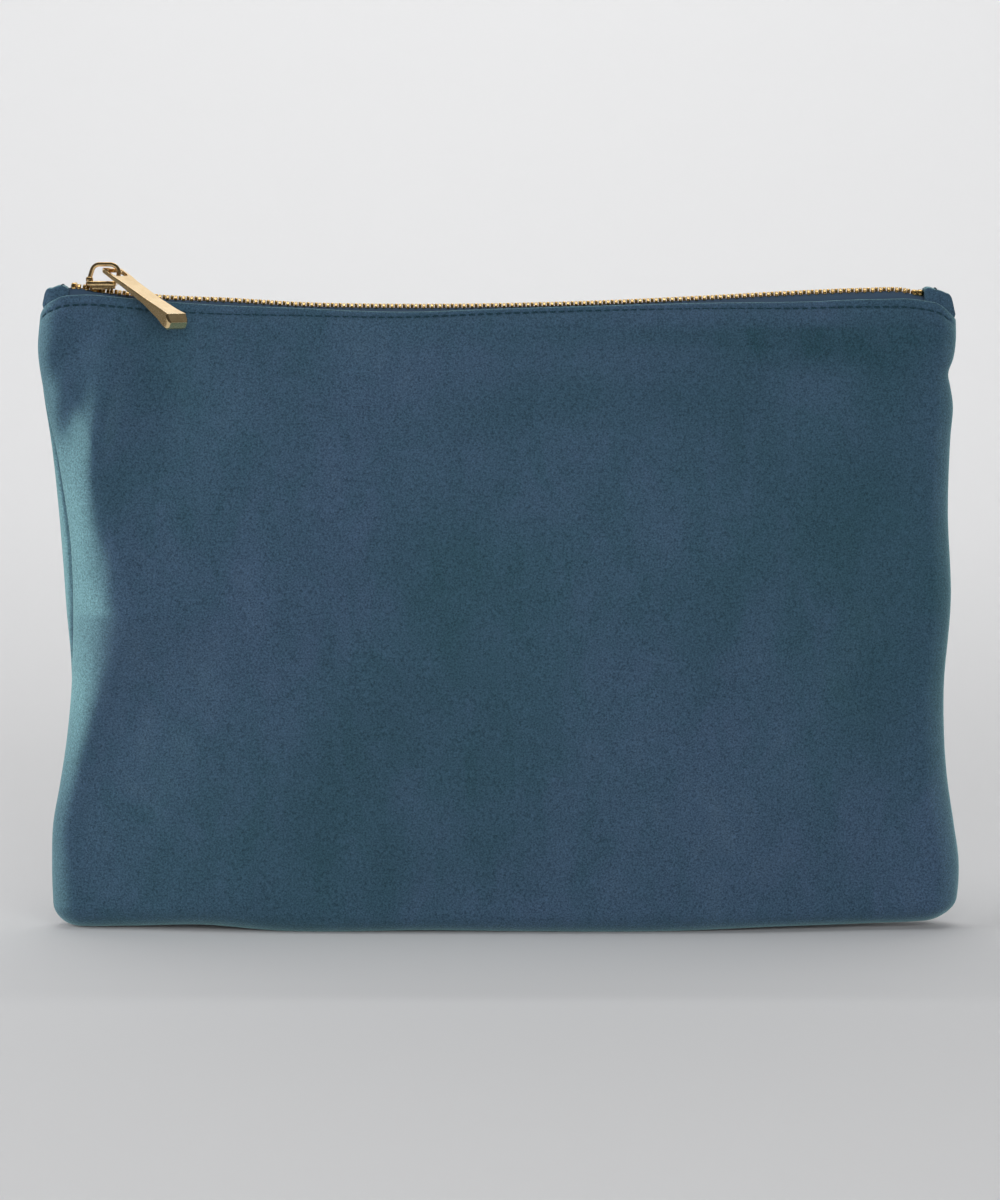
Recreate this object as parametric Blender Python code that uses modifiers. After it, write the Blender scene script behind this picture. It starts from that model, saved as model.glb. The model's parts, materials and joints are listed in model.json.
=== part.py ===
"""A velvet pouch with a metal zip along its top.

Frame: metres, +Z up, the floor at z = 0, +X along the zip from its closed
end to its open end, -Y to the front.  The origin is the middle of the base.
"""

from math import cos, pi, radians, sin

import bmesh
import bpy
from mathutils import Euler, Vector

# ---------------------------------------------------------------- dimensions

GAP = 0.0003                    # between pieces that touch

# The bag: half widths, half depths and heights of its outer surface.
RIM_Z = 0.1860                  # height of the mouth's edge
BELLY_Z = 0.0750                # where the bag is deepest
HALF_WIDTH_RIM = 0.1350
HALF_WIDTH_WAIST = 0.1305
HALF_WIDTH_BASE = 0.1340
HALF_DEPTH_RIM = 0.0068
HALF_DEPTH_BELLY = 0.0215
HALF_DEPTH_BASE = 0.0175
SIDE_RADIUS = 0.0080            # rounding of the side seams in plan
BASE_RADIUS = 0.0060            # rounding where the walls meet the base

# Layers of the wall, from the outside in.
VELVET = 0.0012
INTERLINING = 0.0008
LINING = 0.0005
INNER_TOP_Z = 0.1715            # the inner layers end below the zip's tape
WALL = VELVET + INTERLINING + LINING + 2 * GAP

# The zip: its chain lies level along X, with the two rows meshing at y = 0.
CHAIN_Z = 0.1883
TOOTH_PITCH = 0.00236
TOOTH_WIDTH = 0.00085
TOOTH_TIP = -0.00040            # how far a tooth's head reaches past y = 0
TOOTH_ROOT = 0.00145
SPINE_OUTER = 0.00210
TOOTH_HEIGHT = 0.0022
CHAIN_START = -0.1240
TEETH_PER_ROW = 104
SPREAD = 0.0013                 # how far each row parts inside the slider
SPREAD_START = -0.1135          # the rows part towards the closed end
SPREAD_LENGTH = 0.0060

TAPE_THICKNESS = 0.0005
TAPE_HALF_LENGTH = 0.1261
TAPE_FLAP_OUTER = 0.0053        # the tape turns down just inside the rim
TAPE_FLAP_BOTTOM_Z = 0.1740

STOP_LENGTH = 0.0016
STOP_HEIGHT = 0.0024
STOP_BEVEL = 0.0003
STOP_OVERLAP = 0.0002               # a stop's bite over the tape's edge
BOTTOM_STOP_LENGTH = 0.0028
BOTTOM_STOP_HALF_WIDTH = 0.0021

# The end tabs close the zip over the side seams.
TAB_START = 0.1264
TAB_BOTTOM_Z = RIM_Z + GAP
TAB_TOP_Z = 0.1912
TAB_HALF_DEPTH = 0.0066
TAB_BEVEL = 0.0012

# The slider at the closed end.
SLIDER_LENGTH = 0.0113
SLIDER_X = -0.1175
SLIDER_MOUTH_HALF_WIDTH = 0.0034    # the end that faces the closed chain
SLIDER_SHOULDER_HALF_WIDTH = 0.0044
SLIDER_HALF_HEIGHT = 0.0033
CHANNEL_HALF_HEIGHT = 0.0015
CHANNEL_MARGIN = 0.0004             # between the rows and the channel's sides
TAPE_SLOT_HALF_HEIGHT = 0.0006
POST_START = -0.0051                # from the slider's middle
POST_LENGTH = 0.0027
POST_HALF_WIDTH = 0.00055
SLIDER_BEVEL = 0.0004
SHOULDER_RADIUS = 0.0015

# The bridge: a flat strip bent into an arch over the slider.
STRIP_HALF_WIDTH = 0.0007
STRIP_THICKNESS = 0.0011
BRIDGE_LEFT_X = -0.1212             # outer faces of its two legs
BRIDGE_RIGHT_X = -0.1116
BRIDGE_TOP_Z = 0.1974
BRIDGE_CORNER = 0.0020

# The puller hangs from the bridge by its eye and lies over the front edge.
PIVOT = Vector((-0.1143, 0.0005, 0.1951))
PULLER_YAW = radians(-45.0)
PULLER_DIP = radians(26.0)
EYE_BAR = 0.00060                   # half thickness of the eye's cross bar
EYE_LENGTH = 0.0052
EYE_HALF_WIDTH = 0.00275
EYE_CORNER = 0.0012
EYE_RIM = 0.0012                    # metal left beyond the eye
EYE_CUT_HALF_DEPTH = 0.0040

# Thread.
THREAD_RADIUS = 0.00022
TOPSTITCH_DROP = 0.0026             # below the rim
SEAM_THREAD_RADIUS = 0.00030
SIDE_SEAM_LOW_Z = 0.012
TAB_STITCH_INSET = 0.0022           # from a tab's inner edge

# Resolution of the soft shells.
SPANS_ALONG = 10
SPANS_ROUND_SIDE = 6
RINGS_UP = 9
RINGS_ROUND_BASE = 3

PARTS = "zippered_pouch"
CUTTERS = "cutters"


# ------------------------------------------------------------ scene and tools

def clear_scene():
    """Empty the file of objects and make the two collections."""
    for obj in list(bpy.data.objects):
        bpy.data.objects.remove(obj)
    for name in (PARTS, CUTTERS):
        collection = bpy.data.collections.get(name) or bpy.data.collections.new(name)
        if name not in bpy.context.scene.collection.children:
            bpy.context.scene.collection.children.link(collection)


def material(name, colour, roughness, metallic=0.0):
    """A Principled material with one colour."""
    made = bpy.data.materials.new(name)
    made.use_nodes = True
    shader = made.node_tree.nodes["Principled BSDF"]
    shader.inputs["Base Color"].default_value = (*colour, 1.0)
    shader.inputs["Roughness"].default_value = roughness
    shader.inputs["Metallic"].default_value = metallic
    return made


def velvet_material():
    return material("velvet", (0.037, 0.077, 0.114), 0.85)


def interlining_material():
    return material("interlining", (0.75, 0.74, 0.70), 0.95)


def lining_material():
    return material("lining", (0.030, 0.050, 0.075), 0.60)


def tape_material():
    return material("zip_tape", (0.053, 0.114, 0.150), 0.80)


def thread_material():
    return material("thread", (0.045, 0.090, 0.125), 0.70)


def gold_material():
    return material("gold_metal", (0.78, 0.53, 0.25), 0.25, 1.0)


def add_object(name, mesh, surface, collection=PARTS):
    """Put a mesh in the scene under its own name, with its material."""
    obj = bpy.data.objects.new(name, mesh)
    if surface:
        mesh.materials.append(surface)
    bpy.data.collections[collection].objects.link(obj)
    return obj


def hide_cutter(obj):
    """A cutter shapes other pieces and is no piece itself."""
    obj.hide_render = True
    obj.display_type = "WIRE"


def smooth(obj, angle=35.0):
    """Shade a round piece smooth, keeping its edges sharp."""
    obj.data.shade_smooth()
    obj.data.set_sharp_from_angle(angle=radians(angle))


def mesh_from_curve(name, curve, surface, collection=PARTS):
    """Turn a curve into a mesh object with its caps welded on."""
    guide = bpy.data.objects.new(name + "_guide", curve)
    bpy.data.collections[collection].objects.link(guide)
    graph = bpy.context.evaluated_depsgraph_get()
    mesh = bpy.data.meshes.new_from_object(guide.evaluated_get(graph))
    shape = bmesh.new()
    shape.from_mesh(mesh)
    bmesh.ops.remove_doubles(shape, verts=shape.verts, dist=1e-6)
    bmesh.ops.recalc_face_normals(shape, faces=shape.faces)
    shape.to_mesh(mesh)
    shape.free()
    bpy.data.objects.remove(guide)
    mesh.materials.clear()
    return add_object(name, mesh, surface, collection)


def extruded_outline(name, loops, half_thickness, surface, collection=PARTS):
    """A flat outline (loops of (x, y); an inner loop is a hole) given thickness."""
    curve = bpy.data.curves.new(name, "CURVE")
    curve.dimensions = "2D"
    curve.fill_mode = "BOTH"
    curve.extrude = half_thickness
    for loop in loops:
        spline = curve.splines.new("POLY")
        spline.points.add(len(loop) - 1)
        for point, (x, y) in zip(spline.points, loop):
            point.co = (x, y, 0.0, 1.0)
        spline.use_cyclic_u = True
    return mesh_from_curve(name, curve, surface, collection)


def tube(name, path, radius, surface):
    """A thread laid along a path of points, with closed ends."""
    curve = bpy.data.curves.new(name, "CURVE")
    curve.dimensions = "3D"
    curve.bevel_depth = radius
    curve.bevel_resolution = 1
    curve.use_fill_caps = True
    spline = curve.splines.new("POLY")
    spline.points.add(len(path) - 1)
    for point, place in zip(spline.points, path):
        point.co = (*place, 1.0)
    made = mesh_from_curve(name, curve, surface)
    smooth(made, 60.0)
    return made


def block(name, low, high, surface, collection=PARTS, bevel=0.0):
    """A box between two corners, placed by its location."""
    low, high = Vector(low), Vector(high)
    shape = bmesh.new()
    bmesh.ops.create_cube(shape, size=1.0)
    bmesh.ops.scale(shape, vec=high - low, verts=shape.verts)
    mesh = bpy.data.meshes.new(name)
    shape.to_mesh(mesh)
    shape.free()
    made = add_object(name, mesh, surface, collection)
    made.location = (low + high) / 2
    if bevel:
        add_bevel(made, bevel)
    return made


def add_bevel(obj, width):
    """Round an object's edges."""
    rounding = obj.modifiers.new("rounding", "BEVEL")
    rounding.width = width
    rounding.segments = 2
    rounding.limit_method = "ANGLE"
    rounding.angle_limit = radians(50.0)


def boolean(obj, cutter, operation):
    """Cut or join an object with another, which stays as a hidden cutter."""
    step = obj.modifiers.new(operation.lower(), "BOOLEAN")
    step.operation = operation
    step.solver = "EXACT"
    step.object = cutter
    hide_cutter(cutter)


def arc(centre, radius, start, end, steps):
    """Points on an arc, angles in degrees."""
    return [
        (
            centre[0] + radius * cos(radians(start + (end - start) * i / steps)),
            centre[1] + radius * sin(radians(start + (end - start) * i / steps)),
        )
        for i in range(steps + 1)
    ]


def ease(t):
    """A smooth step from 0 to 1."""
    t = min(max(t, 0.0), 1.0)
    return t * t * (3.0 - 2.0 * t)


# ------------------------------------------------------------- the bag's form

def half_width(z):
    """Half the bag's width at a height: it draws in a little at its waist."""
    above = ease((z - BELLY_Z) / (RIM_Z - BELLY_Z))
    below = ease((BELLY_Z - z) / BELLY_Z)
    return (
        HALF_WIDTH_WAIST
        + above * (HALF_WIDTH_RIM - HALF_WIDTH_WAIST)
        + below * (HALF_WIDTH_BASE - HALF_WIDTH_WAIST)
    )


def half_depth(z):
    """Half the bag's depth at a height, at the middle of its width."""
    if z > BELLY_Z:
        rise = sin(0.5 * pi * (RIM_Z - z) / (RIM_Z - BELLY_Z))
        return HALF_DEPTH_RIM + rise * (HALF_DEPTH_BELLY - HALF_DEPTH_RIM)
    return HALF_DEPTH_BASE + ease(z / BELLY_Z) * (HALF_DEPTH_BELLY - HALF_DEPTH_BASE)


def side_radius(z):
    """The rounding of the side seams, never more than the depth allows."""
    return min(SIDE_RADIUS, half_depth(z))


def wall_y(x, z):
    """How far the outer surface stands from y = 0, away from the round sides."""
    radius = side_radius(z)
    across = min(abs(x) / (half_width(z) - radius), 1.0)
    return radius + (half_depth(z) - radius) * (1.0 - across**4) ** 2


def ring(z, inset=0.0):
    """The bag's outline at a height, drawn in by an inset, as a closed loop."""
    radius = side_radius(z)
    flat = half_width(z) - radius
    front = [
        flat * (2.0 * i / SPANS_ALONG - 1.0) for i in range(SPANS_ALONG + 1)
    ]
    loop = [(x, -(wall_y(x, z) - inset)) for x in front]
    turn = arc((flat, 0.0), radius - inset, -90.0, 90.0, SPANS_ROUND_SIDE)
    loop += turn[1:-1]
    loop += [(-x, -y) for x, y in loop]
    return loop


def bag_rings(top_z):
    """Every ring of the bag, from its top edge down and in under its base.

    All layers share the same rings, so their facets stay parallel.
    """
    span = (BASE_RADIUS - INNER_TOP_Z) / RINGS_UP
    heights = [RIM_Z] + [INNER_TOP_Z + span * i for i in range(RINGS_UP + 1)]
    rings = [(ring(z), z) for z in heights if z <= top_z]
    for i in range(1, RINGS_ROUND_BASE + 1):
        angle = 0.5 * pi * i / RINGS_ROUND_BASE
        z = BASE_RADIUS * (1.0 - sin(angle))
        rings.append((ring(z, BASE_RADIUS * (1.0 - cos(angle))), z))
    return rings


def bag_surface(name, top_z, surface):
    """The bag's outer surface, open at the mouth and closed by the base."""
    shape = bmesh.new()
    loops = [
        [shape.verts.new((x, y, z)) for x, y in outline]
        for outline, z in bag_rings(top_z)
    ]
    count = len(loops[0])
    for upper, lower in zip(loops, loops[1:]):
        for i in range(count):
            j = (i + 1) % count
            shape.faces.new((lower[i], lower[j], upper[j], upper[i]))
    shape.faces.new(list(reversed(loops[-1])))
    mesh = bpy.data.meshes.new(name)
    shape.to_mesh(mesh)
    shape.free()
    return add_object(name, mesh, surface)


def wall_layer(name, top_z, depth, thickness, side, surface):
    """Half of one layer of the wall: the front (side -1) or the rear (side 1).

    The layer lies between depth and depth + thickness inside the surface.
    """
    layer = bag_surface(name, top_z, surface)
    shell = layer.modifiers.new("thickness", "SOLIDIFY")
    shell.thickness = thickness
    shell.offset = -1.0 - 2.0 * depth / thickness
    shell.use_even_offset = True
    reach = 2 * HALF_WIDTH_RIM
    near, far = side * GAP / 2, side * reach
    half = block(
        name + "_half",
        (-reach, min(near, far), -reach),
        (reach, max(near, far), reach),
        None,
        CUTTERS,
    )
    boolean(layer, half, "INTERSECT")
    smooth(layer, 40.0)
    return layer


def walls():
    """Velvet panels, interlining and lining, front and rear."""
    for word, side in (("front", -1), ("rear", 1)):
        depth = 0.0
        wall_layer(word + "_panel", RIM_Z, depth, VELVET, side, velvet_material())
        depth += VELVET + GAP
        wall_layer(
            word + "_interlining", INNER_TOP_Z, depth, INTERLINING, side,
            interlining_material(),
        )
        depth += INTERLINING + GAP
        wall_layer(word + "_lining", INNER_TOP_Z, depth, LINING, side, lining_material())


# ------------------------------------------------------------------ the chain

def spread(x):
    """How far a row is parted from y = 0 where the slider's post divides them."""
    return SPREAD * ease((SPREAD_START - x) / SPREAD_LENGTH)


def teeth_row(name, side, offset):
    """One row of teeth on its spine, as a comb outline given thickness."""
    comb = []
    for i in range(TEETH_PER_ROW):
        left = CHAIN_START + offset + i * TOOTH_PITCH
        right = left + TOOTH_WIDTH
        comb += [(left, TOOTH_ROOT), (left, TOOTH_TIP), (right, TOOTH_TIP), (right, TOOTH_ROOT)]
    end = comb[-1][0]
    straight = [(end, SPINE_OUTER), (SPREAD_START, SPINE_OUTER)]
    bend_steps = 6
    bend = [
        (SPREAD_START - SPREAD_LENGTH * i / bend_steps, SPINE_OUTER)
        for i in range(1, bend_steps + 1)
    ]
    outline = comb + straight + bend + [(comb[0][0], SPINE_OUTER)]
    outline = [(x, side * (y + spread(x))) for x, y in outline]
    row = extruded_outline(name, [outline], TOOTH_HEIGHT / 2, gold_material())
    row.location.z = CHAIN_Z
    return row


def tape(name, side):
    """A tape: a level web beside its row, turned down inside the rim."""
    half = TAPE_THICKNESS / 2
    inner = SPINE_OUTER + GAP
    bend_steps = 6
    xs = [-TAPE_HALF_LENGTH]
    xs += [
        SPREAD_START - SPREAD_LENGTH * (1.0 - i / bend_steps)
        for i in range(bend_steps + 1)
    ]
    xs += [TAPE_HALF_LENGTH]
    edge = [(x, side * (inner + spread(x))) for x in xs]
    fold = TAPE_FLAP_OUTER - half
    outline = edge + [(TAPE_HALF_LENGTH, side * fold), (-TAPE_HALF_LENGTH, side * fold)]
    web = extruded_outline(name, [outline], half, tape_material())
    web.location.z = CHAIN_Z
    ys = sorted((side * (TAPE_FLAP_OUTER - TAPE_THICKNESS), side * TAPE_FLAP_OUTER))
    flap = block(
        name + "_flap",
        (-TAPE_HALF_LENGTH, ys[0], TAPE_FLAP_BOTTOM_Z),
        (TAPE_HALF_LENGTH, ys[1], CHAIN_Z + half),
        None,
        CUTTERS,
    )
    boolean(web, flap, "UNION")
    return web


def stops():
    """Two top stops beside the slider's shoulder, one bottom stop on the chain."""
    for word, side in (("front", -1), ("rear", 1)):
        inner = SPREAD - STOP_OVERLAP
        ys = sorted((side * inner, side * (SPINE_OUTER + SPREAD)))
        end = CHAIN_START - GAP
        block(
            word + "_top_stop",
            (end - STOP_LENGTH, ys[0], CHAIN_Z - STOP_HEIGHT / 2),
            (end, ys[1], CHAIN_Z + STOP_HEIGHT / 2),
            gold_material(),
            bevel=STOP_BEVEL,
        )
    start = CHAIN_START + (TEETH_PER_ROW - 0.5) * TOOTH_PITCH + TOOTH_WIDTH + GAP
    block(
        "bottom_stop",
        (start, -BOTTOM_STOP_HALF_WIDTH, CHAIN_Z - STOP_HEIGHT / 2),
        (start + BOTTOM_STOP_LENGTH, BOTTOM_STOP_HALF_WIDTH, CHAIN_Z + STOP_HEIGHT / 2),
        gold_material(),
        bevel=STOP_BEVEL,
    )


def chain():
    """The two rows, half a pitch apart, on their tapes."""
    teeth_row("front_teeth_row", -1, 0.0)
    teeth_row("rear_teeth_row", 1, TOOTH_PITCH / 2)
    tape("front_tape", -1)
    tape("rear_tape", 1)
    stops()


# ----------------------------------------------------------------- the slider

def slider_outline():
    """The slider's plan: narrow at its mouth, wide at its shoulder."""
    half = SLIDER_LENGTH / 2
    mouth = SLIDER_MOUTH_HALF_WIDTH
    shoulder = SLIDER_SHOULDER_HALF_WIDTH
    turn = SHOULDER_RADIUS
    neck = 0.1 * half
    upper = [(half, mouth), (neck, mouth), (-neck, 0.5 * (mouth + shoulder)), (-0.5 * half, shoulder)]
    upper += arc((-half + turn, shoulder - turn), turn, 90.0, 180.0, 4)
    lower = [(x, -y) for x, y in reversed(upper)]
    return upper + lower


def post_outline():
    """The post that parts the rows, pointed towards the mouth."""
    start, end = POST_START, POST_START + POST_LENGTH
    half = POST_HALF_WIDTH
    return [(start, -half), (end - half, -half), (end, 0.0), (end - half, half), (start, half)]


def channel_outline():
    """The room for the two rows, through both ends of the slider."""
    reach = SLIDER_LENGTH
    steps = 8
    xs = [reach] + [
        SPREAD_START - SLIDER_X - SPREAD_LENGTH * i / steps for i in range(steps + 1)
    ] + [-reach]
    side = [(x, SPINE_OUTER + CHANNEL_MARGIN + spread(x + SLIDER_X)) for x in xs]
    return side + [(x, -y) for x, y in reversed(side)]


def slider_body():
    """Two plates joined by the post, with room for the rows and the tapes."""
    body = extruded_outline(
        "slider_body", [slider_outline()], SLIDER_HALF_HEIGHT, gold_material()
    )
    body.location = (SLIDER_X, 0.0, CHAIN_Z)
    add_bevel(body, SLIDER_BEVEL)
    channel = extruded_outline(
        "slider_channel", [channel_outline(), post_outline()], CHANNEL_HALF_HEIGHT, None, CUTTERS
    )
    reach = SLIDER_LENGTH
    around = [(-reach, -reach), (reach, -reach), (reach, reach), (-reach, reach)]
    slot = extruded_outline(
        "slider_slot", [around, post_outline()], TAPE_SLOT_HALF_HEIGHT, None, CUTTERS
    )
    for cutter in (channel, slot):
        cutter.location = body.location
        boolean(body, cutter, "DIFFERENCE")
    return body


def bridge_outline():
    """The strip's side view: an arch with round shoulders and two feet."""
    foot_z = CHAIN_Z + SLIDER_HALF_HEIGHT + GAP
    left, right, top = BRIDGE_LEFT_X, BRIDGE_RIGHT_X, BRIDGE_TOP_Z
    outer = BRIDGE_CORNER
    inner = outer - STRIP_THICKNESS
    steps = 5
    line = [(left, foot_z)]
    line += arc((left + outer, top - outer), outer, 180.0, 90.0, steps)
    line += arc((right - outer, top - outer), outer, 90.0, 0.0, steps)
    line += [(right, foot_z), (right - STRIP_THICKNESS, foot_z)]
    line += arc((right - outer, top - outer), inner, 0.0, 90.0, steps)
    line += arc((left + outer, top - outer), inner, 90.0, 180.0, steps)
    line += [(left + STRIP_THICKNESS, foot_z)]
    return line


def slider_bridge():
    """The arch that the puller's eye goes round."""
    strip = extruded_outline(
        "slider_bridge", [bridge_outline()], STRIP_HALF_WIDTH, gold_material()
    )
    strip.rotation_euler = Euler((0.5 * pi, 0.0, 0.0))
    smooth(strip, 35.0)
    return strip


# ----------------------------------------------------------------- the puller

def puller_section(w, t, c):
    """A rectangle of half width w and half thickness t, its corners cut by c."""
    return [
        (w - c, -t), (w, -t + c), (w, t - c), (w - c, t),
        (-w + c, t), (-w, t - c), (-w, -t + c), (-w + c, -t),
    ]


def puller_stations():
    """(distance from the pivot, half width, half thickness, chamfer)."""
    eye_end = EYE_LENGTH + EYE_RIM
    return [
        (-EYE_BAR, 0.0027, 0.00042, 0.00012),
        (0.0004, 0.0037, 0.00058, 0.00018),
        (eye_end, 0.0037, 0.00062, 0.00020),
        (eye_end + 0.0025, 0.0033, 0.00062, 0.00022),
        (0.0205, 0.0033, 0.00100, 0.00036),
        (0.0283, 0.0035, 0.00172, 0.00050),
        (0.0322, 0.0039, 0.00200, 0.00060),
        (0.0335, 0.0032, 0.00130, 0.00050),
    ]


def puller():
    """A flat bar with an eye, flaring to a faceted end.

    Its origin is on the axis of the eye's cross bar; its own X runs along the
    bar and its own Y along the axis.
    """
    shape = bmesh.new()
    loops = [
        [shape.verts.new((x, y, z)) for y, z in puller_section(w, t, c)]
        for x, w, t, c in puller_stations()
    ]
    count = len(loops[0])
    for near, far in zip(loops, loops[1:]):
        for i in range(count):
            j = (i + 1) % count
            shape.faces.new((near[i], near[j], far[j], far[i]))
    shape.faces.new(loops[0])
    shape.faces.new(loops[-1])
    bmesh.ops.recalc_face_normals(shape, faces=shape.faces)
    mesh = bpy.data.meshes.new("puller")
    shape.to_mesh(mesh)
    shape.free()
    bar = add_object("puller", mesh, gold_material())
    bar.location = PIVOT
    bar.rotation_euler = Euler((0.0, PULLER_DIP, PULLER_YAW))

    near, far, side = EYE_BAR, EYE_LENGTH, EYE_HALF_WIDTH
    corner = EYE_CORNER
    steps = 3
    outline = arc((far - corner, side - corner), corner, 0.0, 90.0, steps)
    outline += arc((near + corner, side - corner), corner, 90.0, 180.0, steps)
    outline += [(x, -y) for x, y in reversed(outline)]
    eye = extruded_outline("puller_eye", [outline], EYE_CUT_HALF_DEPTH, None, CUTTERS)
    eye.location = bar.location
    eye.rotation_euler = bar.rotation_euler
    boolean(bar, eye, "DIFFERENCE")
    return bar


# ------------------------------------------------------- end tabs and threads

def end_tab(name, side):
    """A folded tab of velvet that closes the zip's end over the side seam."""
    centre_x = HALF_WIDTH_RIM - TAB_HALF_DEPTH
    turn = arc((centre_x, 0.0), TAB_HALF_DEPTH, -90.0, 90.0, 8)
    outline = [(TAB_START, -TAB_HALF_DEPTH)] + turn + [(TAB_START, TAB_HALF_DEPTH)]
    outline = [(side * x, y) for x, y in outline]
    half = (TAB_TOP_Z - TAB_BOTTOM_Z) / 2
    tab = extruded_outline(name, [outline], half, velvet_material())
    tab.location.z = (TAB_TOP_Z + TAB_BOTTOM_Z) / 2
    add_bevel(tab, TAB_BEVEL)
    return tab


def topstitch(name, side):
    """The row of stitches along a panel's turned edge, on its outer face."""
    z = RIM_Z - TOPSTITCH_DROP
    end = half_width(z) - side_radius(z)
    spans = 8
    path = []
    for i in range(spans + 1):
        x = end * (2.0 * i / spans - 1.0)
        path.append((x, side * (wall_y(x, z) + GAP + THREAD_RADIUS), z))
    return tube(name, path, THREAD_RADIUS, thread_material())


def tab_stitch(name, side):
    """The bar of thread that holds a tab down."""
    x = side * (TAB_START + TAB_STITCH_INSET)
    z = TAB_TOP_Z + GAP + THREAD_RADIUS
    reach = TAB_HALF_DEPTH - TAB_BEVEL
    return tube(name, [(x, -reach, z), (x, 0.0, z), (x, reach, z)], THREAD_RADIUS, thread_material())


def side_seam(name, side):
    """The thread of a side seam, inside the lining where the halves meet."""
    low, high = SIDE_SEAM_LOW_Z, INNER_TOP_Z
    steps = 6
    path = []
    for i in range(steps + 1):
        z = low + (high - low) * i / steps
        inside = half_width(z) - WALL - 2 * GAP - SEAM_THREAD_RADIUS
        path.append((side * inside, 0.0, z))
    return tube(name, path, SEAM_THREAD_RADIUS, thread_material())


def bottom_seam():
    """The thread of the bottom seam, inside the lining along y = 0."""
    reach = HALF_WIDTH_BASE - 2 * SIDE_RADIUS
    z = WALL + GAP + SEAM_THREAD_RADIUS
    return tube(
        "bottom_seam", [(-reach, 0.0, z), (0.0, 0.0, z), (reach, 0.0, z)],
        SEAM_THREAD_RADIUS, thread_material(),
    )


def trim():
    """Tabs and threads, both ends and both faces."""
    for word, side in (("left", -1), ("right", 1)):
        end_tab(word + "_end_tab", side)
        tab_stitch(word + "_tab_stitch", side)
        side_seam(word + "_side_seam", side)
    for word, side in (("front", -1), ("rear", 1)):
        topstitch(word + "_topstitch", side)
    bottom_seam()


def main():
    clear_scene()
    walls()
    chain()
    slider_body()
    slider_bridge()
    puller()
    trim()


main()
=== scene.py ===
import json
from math import cos, pi, radians, sin

import bmesh
import bpy
import numpy as np
from mathutils import Matrix, Vector


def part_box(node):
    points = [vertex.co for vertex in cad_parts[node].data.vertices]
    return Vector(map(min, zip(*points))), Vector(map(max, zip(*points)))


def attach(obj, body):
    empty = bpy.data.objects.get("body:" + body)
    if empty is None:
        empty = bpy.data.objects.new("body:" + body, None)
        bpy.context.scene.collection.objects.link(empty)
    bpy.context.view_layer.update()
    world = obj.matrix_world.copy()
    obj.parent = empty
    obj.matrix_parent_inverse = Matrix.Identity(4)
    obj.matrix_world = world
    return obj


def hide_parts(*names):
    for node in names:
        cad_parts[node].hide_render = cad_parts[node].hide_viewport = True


# The looks of a velvet pouch with a gold zip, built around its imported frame.
# Metres, +Z up, +X along the zip, -Y to the front, as in the frame.

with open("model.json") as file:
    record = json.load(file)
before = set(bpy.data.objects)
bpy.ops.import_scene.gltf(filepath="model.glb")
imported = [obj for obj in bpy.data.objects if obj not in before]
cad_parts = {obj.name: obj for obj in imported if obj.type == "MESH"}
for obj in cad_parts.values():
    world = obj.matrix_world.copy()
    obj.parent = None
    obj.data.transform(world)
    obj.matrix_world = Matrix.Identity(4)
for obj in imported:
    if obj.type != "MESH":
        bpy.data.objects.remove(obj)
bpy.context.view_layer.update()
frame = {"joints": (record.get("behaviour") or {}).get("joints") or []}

MM = 0.001

# ------------------------------------------------------------- driving sizes

CHAIN_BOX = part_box("front_teeth_row")
SLIDER_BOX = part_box("slider_body")
BRIDGE_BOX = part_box("slider_bridge")
CHAIN_Z = 0.5 * (CHAIN_BOX[0].z + CHAIN_BOX[1].z)
RIM_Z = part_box("front_panel")[1].z

VELVET = 0.8 * MM               # shown thickness of the cloth
RIM_DEPTH = 6.35 * MM           # half depth of the mouth, to the outside
HEM_RADIUS = 0.85 * MM          # the turned edge is a small roll
STITCH_PITCH = 2.7 * MM
BELLY = 21.3 * MM               # half depth at the deepest place
BELLY_DROP = 112 * MM           # from the rim down to the deepest place
BASE_DEPTH = 17.5 * MM          # half depth at the base
BASE_RADIUS = 6.5 * MM
TOOTH_PITCH = 2.36 * MM
TEETH = 104                     # in each row
SLIDER_TOP = SLIDER_BOX[1].z + 0.25 * MM
TOP_PLATE_UNDERSIDE = 190.35 * MM
FLANGE_LOW, FLANGE_TOP = 189.45 * MM, 191.0 * MM
POST_TOP = 190.8 * MM
PULLER_DIP = radians(26.0)      # the bar hangs this far below level at rest


def hermite(s, first, last, first_slope, last_slope):
    """A cubic from first to last as s runs from 0 to 1, with its end slopes."""
    return (
        (2 * s**3 - 3 * s**2 + 1) * first + (s**3 - 2 * s**2 + s) * first_slope
        + (-2 * s**3 + 3 * s**2) * last + (s**3 - s**2) * last_slope
    )


def smooth(t):
    """Ease from 0 to 1."""
    return t * t * (3 - 2 * t)


def curve_through(points):
    """A smooth function through (place, value) points, flat beyond its ends."""
    t = np.array([p[0] for p in points], float)
    v = np.array([p[1] for p in points], float)
    order = np.argsort(t)
    t, v = t[order], v[order]
    slope = np.gradient(v, t)
    slope[0] = slope[-1] = 0.0

    def at(x):
        x = np.clip(np.asarray(x, float), t[0], t[-1])
        i = np.clip(np.searchsorted(t, x, side="right") - 1, 0, len(t) - 2)
        h = t[i + 1] - t[i]
        return hermite((x - t[i]) / h, v[i], v[i + 1], h * slope[i], h * slope[i + 1])

    return at


def millimetres(points):
    """The points given in millimetres, in metres."""
    return [(a * MM, b * MM) for a, b in points]


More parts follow.
